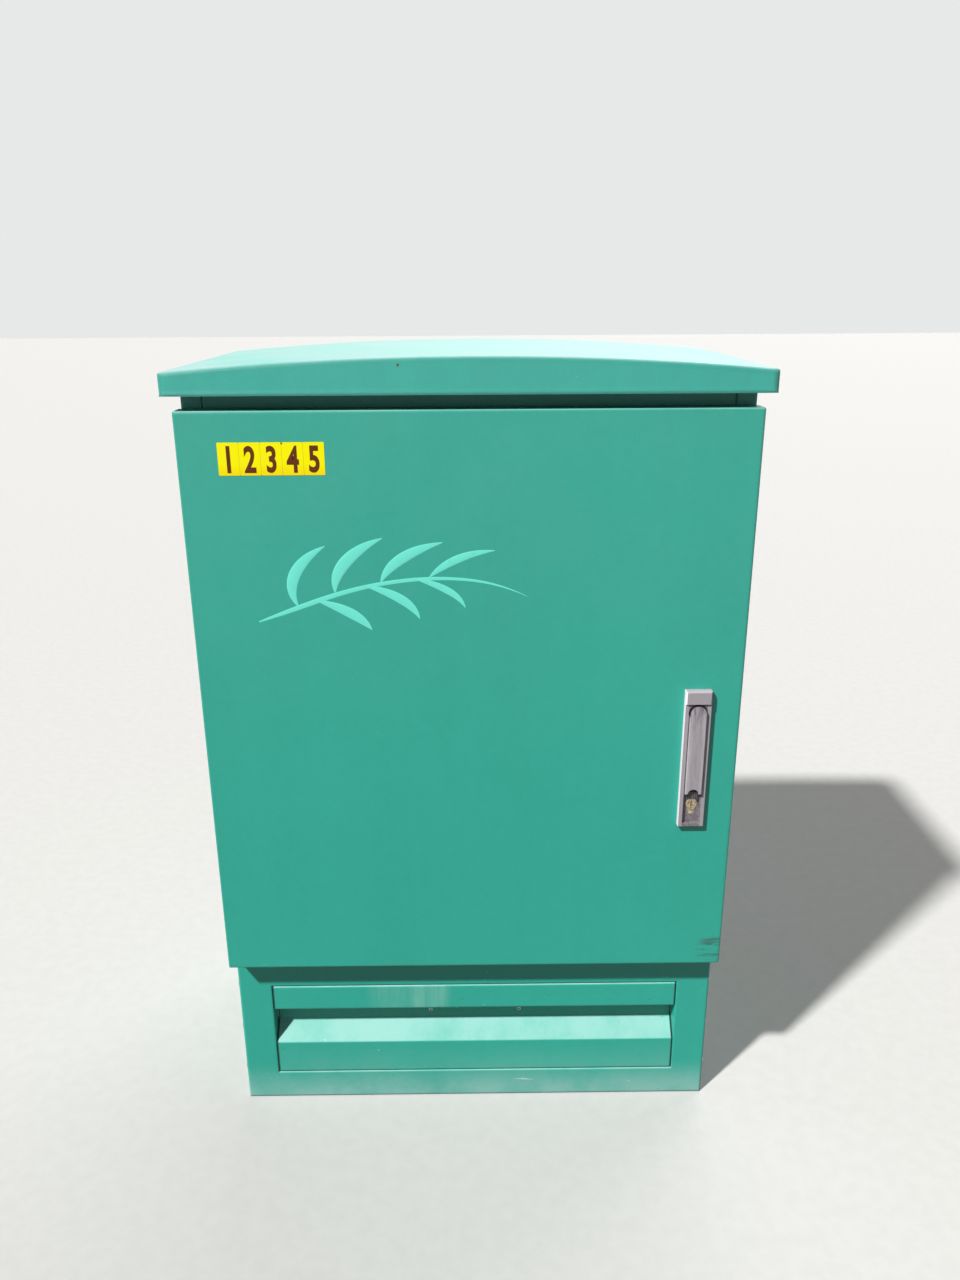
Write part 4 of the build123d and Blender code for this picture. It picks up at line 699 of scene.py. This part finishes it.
def lever_coat(groups, color):
    """The lever's coat: painted highlights along its sides, with dark upright streaks that grow stronger
    towards its top.
    """
    crown_half_width, highlight_half_width = 0.0050, 0.0118
    streak_faint_below, streak_full_from = -0.040, 0.010
    material, tree, shader = new_material("Lever Coat")
    coat = use_group(tree, groups["coat"], {"Color": color, "Patch": 0.45, "Peel": 0.22, "Gloss": 0.44})
    where = object_place(tree)
    out, above, reach = handle_place(tree, axes(tree, where))
    # Painted highlight along both sides, standing for light on a rounded lever
    sides = ramp(tree, out, crown_half_width, highlight_half_width, to=(0.0, 0.55))
    shade = mix(tree, sides, coat.outputs["Color"], lever_side_highlight)
    # Dark upright streaks, stronger towards the top
    runs = noise(tree, stretched(tree, where, 1.0, 1.0, 0.14), 240.0, roughness=0.6)
    high = ramp(tree, above, streak_faint_below, streak_full_from, to=(0.22, 1.0))
    dark_streaks = math(tree, "MULTIPLY", math(tree, "MULTIPLY", ramp(tree, runs, 0.42, 0.66), high), 0.72)
    shade = mix(tree, dark_streaks, shade, lever_dark_streak)
    # Pale rims: partly wear, partly painted highlight
    shade = pale_rims_wear_highlight(tree, groups, shade, lever_wear_highlight_rim, 0.45)
    # Painted shade along the gap round the lever's arch
    shade = mix(tree, shade_round_arch(tree, above, reach, 0.0013), shade, lever_arch_shade)
    finish_material(tree, shader, shade, coat)
    return material


def fluted_plastic(groups):
    """Dark slider with pale painted highlights along the crests of its upright flutes."""
    flute_pitch = 0.0030
    material, tree, shader = new_material("Fluted Slider")
    coat = use_group(
        tree, groups["coat"], {"Color": (0.055, 0.055, 0.06), "Patch": 0.3, "Peel": 0.2, "Gloss": 0.42}
    )
    middle = (lever_low.x + lever_high.x) / 2
    across = axes(tree, object_place(tree))["X"]
    out = math(tree, "ABSOLUTE", math(tree, "SUBTRACT", across, middle))
    wave = math(tree, "COSINE", math(tree, "MULTIPLY", out, 2 * pi / flute_pitch))
    # Painted highlight along each flute's crest
    crest = ramp(tree, wave, 0.35, 0.95, to=(0.0, 0.75))
    shade = mix(tree, crest, coat.outputs["Color"], pale_flute_highlight)
    finish_material(tree, shader, shade, coat)
    return material


def dress(names, material):
    """Gives CAD nodes a material."""
    for name in names:
        mesh = nodes[name].data
        mesh.materials.clear()
        mesh.materials.append(material)


# Marks on the paint: their middles, half sizes, and the noise that draws them
door_corner_rub = {
    "Centre": Vector((door_high.x - 0.014, door_face, door_bottom + 0.028)),
    "Half Size": (0.034, 0.030, 0.036),
    "Mark": (0.035, 0.055, 0.055),
    "Stretch": (0.13, 1.0, 1.0),
    "Amount": 0.75,
    "Grain": 150.0,
    "Threshold": 0.46,
    "Softness": 0.16,
}
cover_smudge = {
    "Centre": Vector((-0.079, cover_low.y, cover_high.z - 0.017)),
    "Half Size": (0.046, 0.03, 0.075),
    "Mark": (0.45, 0.70, 0.63),
    "Stretch": (1.0, 1.0, 0.10),
    "Amount": 0.40,
    "Grain": 46.0,
    "Threshold": 0.16,
    "Softness": 0.70,
}
cover_second_smudge = {
    **cover_smudge,
    "Centre": Vector((-0.146, cover_low.y, cover_high.z - 0.020)),
    "Half Size": (0.040, 0.03, 0.070),
    "Amount": 0.26,
}
plinth_scratch = {
    "Centre": Vector((0.083, plinth_face, 0.032)),
    "Half Size": (0.022, 0.02, 0.005),
    "Mark": (0.62, 0.80, 0.74),
    "Stretch": (0.06, 1.0, 1.0),
    "Amount": 0.80,
    "Grain": 420.0,
    "Softness": 0.05,
}
roof_rust_dot = {
    "Centre": Vector((-0.094, roof_low.y, roof_high.z - 0.0107)),
    "Half Size": (0.0026, 0.006, 0.0026),
    "Mark": (0.10, 0.035, 0.018),
    "Stretch": (1.0, 1.0, 1.0),
    "Amount": 1.0,
    "Grain": 500.0,
    "Threshold": 0.20,
    "Softness": 0.20,
}

# How dust lies on each green surface
door_dust = {"Ledge": 0.45, "Splash": 0.0, "Specks": 0.05, "Bleach": 0.10}
body_dust = {**door_dust, "Bleach": 0.06}
roof_dust = {"Dust": (0.285, 0.445, 0.44), "Ledge": 0.85, "Splash": 0.0, "Specks": 0.10, "Bleach": 0.05}
plinth_dust = {"Ledge": 0.45, "Splash": 0.68, "Splash Top": 0.078, "Specks": 0.50, "Bleach": 0.0}
cover_dust = {"Ledge": 0.74, "Splash": 0.34, "Splash Top": 0.13, "Specks": 0.55, "Bleach": 0.0}


def dress_green(groups, finish):
    """Paints the door, the body, the roof and the plinth."""
    green = tuple(finish.door_green)
    dust = {"Dust": tuple(finish.dust)}
    door_look = {"Color": green, "Gloss": 0.38}
    body_look = {"Color": green, "Gloss": 0.40}
    roof_look = {"Color": tuple(finish.roof_green), "Gloss": 0.42, "Patch": 0.40, "Edge Radius": 0.0090}
    plinth_look = {"Color": green, "Gloss": 0.46, "Edge Radius": 0.0040}
    cover_look = {"Color": green, "Gloss": 0.44, "Edge Radius": 0.0040}
    door = green_paint(
        groups, "Door Paint", door_look, {**dust, **door_dust}, rub=0.26, scuffs=[door_corner_rub]
    )
    body = green_paint(groups, "Body Paint", body_look, {**dust, **body_dust}, rub=0.18)
    roof = green_paint(groups, "Roof Paint", roof_look, roof_dust, rub=0.35, scuffs=[roof_rust_dot])
    plinth = green_paint(
        groups, "Plinth Paint", plinth_look, {**dust, **plinth_dust}, rub=0.42, scuffs=[plinth_scratch]
    )
    cover = green_paint(
        groups,
        "Cover Paint",
        cover_look,
        {**dust, **cover_dust},
        rub=0.42,
        scuffs=[cover_smudge, cover_second_smudge],
        joint=0.0024,
    )
    dress(["door_skin"], door)
    dress(["roof"], roof)
    dress(["body_shell", "top_plate", "floor_plate"], body)
    dress(["plinth_front_frame", "plinth_back_frame", "plinth_side_left", "plinth_side_right"], plinth)
    dress(["plinth_cover"], cover)


def dress_by_slot(groups, grey):
    """Gives the plated, plastic and rubber pieces the finish of their slot in the record."""
    by_slot = {
        "zinc_steel": plated_metal(groups, "Zinc Plate", (0.56, 0.57, 0.58), gloss=0.40),
        "fastener_steel": plated_metal(groups, "Plated Fasteners", (0.47, 0.47, 0.46), gloss=0.36),
        "brass": scratched_brass(groups),
        "handle_grey": moulded(groups, "Handle Coat", grey, gloss=0.46, peel=0.22, patch=0.35),
        "black_plastic": moulded(groups, "Dark Plastic", (0.075, 0.08, 0.082), gloss=0.45, peel=0.15),
        "seal_rubber": moulded(groups, "Seal Rubber", (0.018, 0.018, 0.018), gloss=0.7, peel=0.3),
        "terminal_plastic": moulded(groups, "Terminal Plastic", (0.66, 0.66, 0.61), gloss=0.5, peel=0.1),
    }
    for entry in frame["record"]["subparts"]:
        if entry["material_slot"] in by_slot:
            dress([entry["node"]], by_slot[entry["material_slot"]])


class CABINET_OT_finishes(bpy.types.Operator):
    """Give every piece of the cabinet its paint, plating or plastic"""

    bl_idname = "cabinet.finishes"
    bl_label = "Finishes"

    def execute(self, context):
        finish = context.scene.cabinet_finish
        grey = tuple(finish.handle_grey)
        groups = {
            "coat": build_powder_coat(),
            "dust": build_dust(),
            "scuff": build_scuff(),
            "edge": build_edge_wear(),
            "joint": build_painted_joint_shade(),
            "metal": build_metal_grain(),
        }
        dress_green(groups, finish)
        dress_by_slot(groups, grey)
        dress(["plinth_cover_screws"], socket_screw(groups))
        dress(["handle_tray"], handle_tray_coat(groups, grey))
        dress(["lever"], lever_coat(groups, grey))
        dress(["dust_cover"], fluted_plastic(groups))
        return {"FINISHED"}


def object_from(builder, name, material):
    """Makes an object with one material from a filled bmesh."""
    mesh = bpy.data.meshes.new(name)
    builder.to_mesh(mesh)
    builder.free()
    mesh.materials.append(material)
    made = bpy.data.objects.new(name, mesh)
    bpy.context.scene.collection.objects.link(made)
    return made


def piece_from(builder, name, body, material):
    """Makes a piece from a filled bmesh and lets it ride on a body."""
    piece = object_from(builder, name, material)
    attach(piece, body)


def builder_from(context, curve, merge):
    """A bmesh with the shape of a text or a curve, its doubles merged."""
    shape = bpy.data.objects.new(curve.name, curve)
    context.scene.collection.objects.link(shape)
    context.view_layer.update()
    mesh = bpy.data.meshes.new_from_object(shape.evaluated_get(context.evaluated_depsgraph_get()))
    bpy.data.objects.remove(shape)
    builder = bmesh.new()
    builder.from_mesh(mesh)
    bmesh.ops.remove_doubles(builder, verts=builder.verts, dist=merge)
    return builder


def plate_vinyl(size, finish):
    """Yellow vinyl: bleached in clouds, deeper at its foot, with one brown nick in its upper edge."""
    material, tree, shader = new_material("Plate Vinyl")
    where = object_place(tree)
    foot, top = door_bottom + size.low, door_bottom + size.low + size.height
    nick_across, nick_down = 3.02 * size.cell_width, 0.0015
    clouds = ramp(tree, noise(tree, where, 60.0), 0.45, 0.75, to=(0.0, 0.22))
    bleached = mix(tree, clouds, tuple(finish.plate_yellow), bleached_yellow)
    deep = ramp(tree, axes(tree, where)["Z"], foot, foot + size.height * 0.4, to=(0.5, 0.0))
    deepened = mix(tree, deep, bleached, deep_yellow)
    nick = {
        "Color": deepened,
        "Mark": nick_brown,
        "Centre": Vector((size.left + nick_across, door_face, top - nick_down)),
        "Half Size": (0.0018, 0.01, 0.0022),
        "Stretch": (1.0, 1.0, 1.0),
        "Amount": 1.0,
        "Grain": 700.0,
        "Threshold": 0.25,
        "Softness": 0.2,
    }
    nicked = use_group(tree, bpy.data.node_groups["Scuffed Patch"], nick).outputs["Color"]
    set_inputs(tree, shader, {"Base Color": nicked, "Roughness": 0.40, "Specular IOR Level": 0.12})
    return material


def digit_print(finish):
    """Brown print, a little worn."""
    material, tree, shader = new_material("Digit Print")
    worn = ramp(tree, noise(tree, object_place(tree), 420.0, detail=3.0), 0.62, 0.80, to=(0.0, 0.35))
    faded = mix(tree, worn, tuple(finish.digit_brown), worn_print)
    set_inputs(tree, shader, {"Base Color": faded, "Roughness": 0.42, "Specular IOR Level": 0.25})
    return material


class CABINET_OT_number_plate(bpy.types.Operator):
    """Stick the row of yellow digit cells on the door"""

    bl_idname = "cabinet.number_plate"
    bl_label = "Number plate"

    def execute(self, context):
        size = context.scene.cabinet_plate
        finish = context.scene.cabinet_finish
        self.add_cells(size, plate_vinyl(size, finish))
        brown = digit_print(finish)
        for index, digit in enumerate(size.digits):
            self.add_digit(context, size, index, digit, brown)
        return {"FINISHED"}

    def add_cells(self, size, yellow):
        """Makes the row of cells with rounded corners and a fine seam between them."""
        seam, corner = 0.00025, 0.0012
        cells = bmesh.new()
        for index in range(len(size.digits)):
            across = size.left + (index + 0.5) * size.cell_width
            up = door_bottom + size.low + size.height / 2
            made = bmesh.ops.create_cube(cells, size=1.0)["verts"]
            bmesh.ops.scale(cells, vec=(size.cell_width - seam, size.thickness, size.height), verts=made)
            bmesh.ops.translate(cells, vec=(across, door_face - size.thickness / 2, up), verts=made)
        through = [
            edge
            for edge in cells.edges
            if abs(edge.verts[0].co.y - edge.verts[1].co.y) > size.thickness / 2
        ]
        bmesh.ops.bevel(
            cells, geom=through, offset=corner, segments=3, profile=0.5, affect="EDGES", material=-1
        )
        piece_from(cells, "number_plate", "door", yellow)

    def add_digit(self, context, size, index, digit, brown):
        """Makes one digit from the plain typeface, squeezed to the plate's proportions."""
        text = bpy.data.curves.new("digit", "FONT")
        text.body = digit
        text.align_x = "CENTER"
        text.size = 1.0
        text.offset = 0.030
        text.extrude = 0.5
        text.resolution_u = 6
        glyph = builder_from(context, text, merge=0.0001)
        xs = [vert.co.x for vert in glyph.verts]
        ys = [vert.co.y for vert in glyph.verts]
        middle = Vector(((min(xs) + max(xs)) / 2, (min(ys) + max(ys)) / 2, 0.0))
        bmesh.ops.translate(glyph, vec=-middle, verts=glyph.verts)
        tall = size.digit_height / (max(ys) - min(ys))
        wide = tall * size.digit_squeeze
        bmesh.ops.scale(glyph, vec=(wide, tall, size.print_thickness), verts=glyph.verts)
        bmesh.ops.rotate(glyph, cent=(0, 0, 0), matrix=Matrix.Rotation(pi / 2, 3, "X"), verts=glyph.verts)
        middle_share = 0.49
        across = size.left + (index + 0.5) * size.cell_width
        face = door_face - size.thickness - size.print_thickness / 2
        up = door_bottom + size.low + size.height * middle_share
        bmesh.ops.translate(glyph, vec=(across, face, up), verts=glyph.verts)
        piece_from(glyph, f"plate_digit_{index + 1}", "door", brown)


# The mark's strokes, a plain sprig: points across, up and a width, each as a share of the whole mark
mark_strokes = (
    (
        (0.00, 0.10, 0.2), (0.12, 0.22, 0.9), (0.30, 0.42, 0.7), (0.52, 0.55, 0.6),
        (0.74, 0.58, 0.5), (0.90, 0.50, 0.3), (1.00, 0.36, 0.05),
    ),
    ((0.15, 0.27, 0.2), (0.10, 0.50, 2.2), (0.15, 0.76, 2.4), (0.26, 0.92, 0.1)),
    ((0.29, 0.42, 0.2), (0.28, 0.66, 2.6), (0.36, 0.88, 2.2), (0.47, 1.00, 0.1)),
    ((0.46, 0.53, 0.2), (0.49, 0.74, 2.3), (0.58, 0.88, 1.9), (0.69, 0.95, 0.1)),
    ((0.64, 0.58, 0.2), (0.70, 0.74, 1.8), (0.78, 0.84, 1.4), (0.88, 0.86, 0.1)),
    ((0.22, 0.33, 0.2), (0.33, 0.24, 2.2), (0.39, 0.12, 1.8), (0.42, 0.00, 0.1)),
    ((0.40, 0.49, 0.2), (0.52, 0.40, 2.0), (0.58, 0.27, 1.6), (0.60, 0.12, 0.1)),
    ((0.58, 0.57, 0.2), (0.69, 0.48, 1.5), (0.75, 0.38, 1.2), (0.77, 0.24, 0.1)),
)


def mint_paint(finish):
    """Mint spray that thins in streaks and lets the door's green through."""
    material, tree, shader = new_material("Mint Marker")
    streaks = noise(tree, stretched(tree, object_place(tree), 1.0, 1.0, 0.4), 150.0)
    thin = ramp(tree, streaks, 0.58, 0.82, to=(0.0, 0.25))
    shade = mix(tree, thin, tuple(finish.mark_mint), tuple(finish.door_green))
    set_inputs(tree, shader, {"Base Color": shade, "Roughness": 0.38})
    return material


class CABINET_OT_paint_mark(bpy.types.Operator):
    """Draw the plain mint sprig on the door"""

    bl_idname = "cabinet.paint_mark"
    bl_label = "Paint mark"

    def execute(self, context):
        mark = context.scene.cabinet_mark
        mint = mint_paint(context.scene.cabinet_finish)
        for number, stroke in enumerate(mark_strokes, 1):
            self.add_stroke(context, mark, number, stroke, mint)
        return {"FINISHED"}

    def add_stroke(self, context, mark, number, stroke, mint):
        """Makes one stroke as a flattened tube, each a little further out than the one before."""
        line = bpy.data.curves.new("stroke", "CURVE")
        line.dimensions = "3D"
        line.bevel_depth = 1.0
        line.bevel_resolution = 2
        line.use_fill_caps = True
        line.resolution_u = 10
        spline = line.splines.new("NURBS")
        spline.points.add(len(stroke) - 1)
        for point, (x, z, width) in zip(spline.points, stroke):
            point.co = (mark.left + x * mark.width, 0.0, door_bottom + mark.low + z * mark.height, 1.0)
            point.radius = width * mark.stroke / 2
        spline.order_u = 4
        spline.use_endpoint_u = True
        ribbon = builder_from(context, line, merge=0.00001)
        flat = mark.thickness / mark.stroke
        bmesh.ops.scale(ribbon, vec=(1.0, flat, 1.0), verts=ribbon.verts)
        outward_step = mark.thickness * 0.04
        bmesh.ops.translate(ribbon, vec=(0.0, door_face - outward_step * number, 0.0), verts=ribbon.verts)
        bmesh.ops.recalc_face_normals(ribbon, faces=ribbon.faces)
        for face in ribbon.faces:
            face.smooth = False
        piece_from(ribbon, f"paint_stroke_{number}", "door", mint)


def seen_directly(tree):
    """1 for what the camera or a glossy surface sees, else 0."""
    rays = place(tree, "ShaderNodeLightPath").outputs
    return math(tree, "MAXIMUM", rays["Is Camera Ray"], rays["Is Glossy Ray"])


class CABINET_OT_stage(bpy.types.Operator):
    """Set the pale floor, the soft lamps and the camera"""

    bl_idname = "cabinet.stage"
    bl_label = "Stage"

    def execute(self, context):
        stage = context.scene.cabinet_stage
        self.add_floor()
        self.add_surround(context, stage)
        self.add_lamp(context, "key", stage.sun, stage.sun_softness, stage.sun_course)
        self.add_lamp(context, "fill", stage.fill, stage.fill_softness, stage.fill_course)
        self.add_camera(context, stage)
        context.scene.view_settings.view_transform = "Standard"
        return {"FINISHED"}

    def add_floor(self):
        """Lays the floor, pale to the camera and darker in the light that it throws back."""
        builder = bmesh.new()
        bmesh.ops.create_grid(builder, x_segments=1, y_segments=1, size=30.0)
        material, tree, shader = new_material("Pale Floor")
        grain = ramp(tree, noise(tree, object_place(tree), 40.0, detail=5.0), 0.3, 0.7)
        dark_grain, pale_grain = (0.455, 0.455, 0.45), (0.475, 0.475, 0.47)
        thrown_back = (0.075, 0.075, 0.074)
        shown = mix(tree, grain, dark_grain, pale_grain)
        tone = mix(tree, seen_directly(tree), thrown_back, shown)
        set_inputs(tree, shader, {"Base Color": tone, "Roughness": 0.9})
        floor = object_from(builder, "floor", material)

    def add_surround(self, context, stage):
        """Sets the soft sky, with a plain pale backdrop where it is seen directly."""
        world = bpy.data.worlds.new("Soft Surround")
        world.use_nodes = True
        tree = world.node_tree
        sky = tree.nodes["Background"]
        set_inputs(tree, sky, {"Color": (0.90, 0.95, 1.0), "Strength": stage.sky})
        backdrop = place(tree, "ShaderNodeBackground", {"Color": (0.80, 0.81, 0.81), "Strength": 1.0})
        inputs = {0: seen_directly(tree), 1: sky.outputs[0], 2: backdrop.outputs[0]}
        both = place(tree, "ShaderNodeMixShader", inputs)
        set_inputs(tree, tree.nodes["World Output"], {"Surface": both.outputs[0]})
        context.scene.world = world

    def add_lamp(self, context, name, strength, softness, course):
        """Adds a lamp that shines from afar along its course."""
        light = bpy.data.lights.new(name, "SUN")
        light.energy = strength
        light.angle = softness
        light.color = (1.0, 0.98, 0.95)
        lamp = bpy.data.objects.new(name, light)
        lamp.rotation_euler = Vector(course).to_track_quat("-Z", "Y").to_euler()
        context.scene.collection.objects.link(lamp)

    def add_camera(self, context, stage):
        """Adds the camera at the photograph's viewing angle."""
        lens = bpy.data.cameras.new("camera")
        lens.sensor_fit = "VERTICAL"
        lens.sensor_height = 36.0
        lens.lens = stage.lens
        camera = bpy.data.objects.new("camera", lens)
        camera.location = (stage.camera_side, door_face - stage.camera_back, door_bottom + stage.camera_up)
        turned = (
            Matrix.Rotation(-stage.yaw, 4, "Z")
            @ Matrix.Rotation(pi / 2 - stage.pitch, 4, "X")
            @ Matrix.Rotation(stage.roll, 4, "Z")
        )
        camera.rotation_euler = turned.to_euler()
        context.scene.collection.objects.link(camera)
        context.scene.camera = camera


class CABINET_PT_panel(bpy.types.Panel):
    """Shows the cabinet's operators and settings"""

    bl_label = "Cabinet"
    bl_idname = "CABINET_PT_panel"
    bl_space_type = "VIEW_3D"
    bl_region_type = "UI"
    bl_category = "Cabinet"

    def draw(self, context):
        layout = self.layout
        for operator in operators:
            layout.operator(operator.bl_idname)
        for settings in settings_groups:
            group = getattr(context.scene, settings)
            for name in group.bl_rna.properties.keys():
                if name not in ("rna_type", "name"):
                    layout.prop(group, name)


operators = (
    CABINET_OT_finishes,
    CABINET_OT_number_plate,
    CABINET_OT_paint_mark,
    CABINET_OT_stage,
)
settings_groups = {
    "cabinet_finish": CabinetFinish,
    "cabinet_plate": NumberPlateSize,
    "cabinet_mark": PaintMarkSize,
    "cabinet_stage": StageSettings,
}
classes = (*settings_groups.values(), *operators, CABINET_PT_panel)


def register():
    """Registers the classes and puts their settings on the scene."""
    for item in classes:
        bpy.utils.register_class(item)
    for name, group in settings_groups.items():
        setattr(bpy.types.Scene, name, bpy.props.PointerProperty(type=group))


def unregister():
    """Takes the settings and classes away again."""
    for name in settings_groups:
        delattr(bpy.types.Scene, name)
    for item in reversed(classes):
        bpy.utils.unregister_class(item)


def main():
    """Builds the finished cabinet."""
    register()
    bpy.ops.cabinet.finishes()
    bpy.ops.cabinet.number_plate()
    bpy.ops.cabinet.paint_mark()
    bpy.ops.cabinet.stage()


if __name__ == "__main__":
    main()
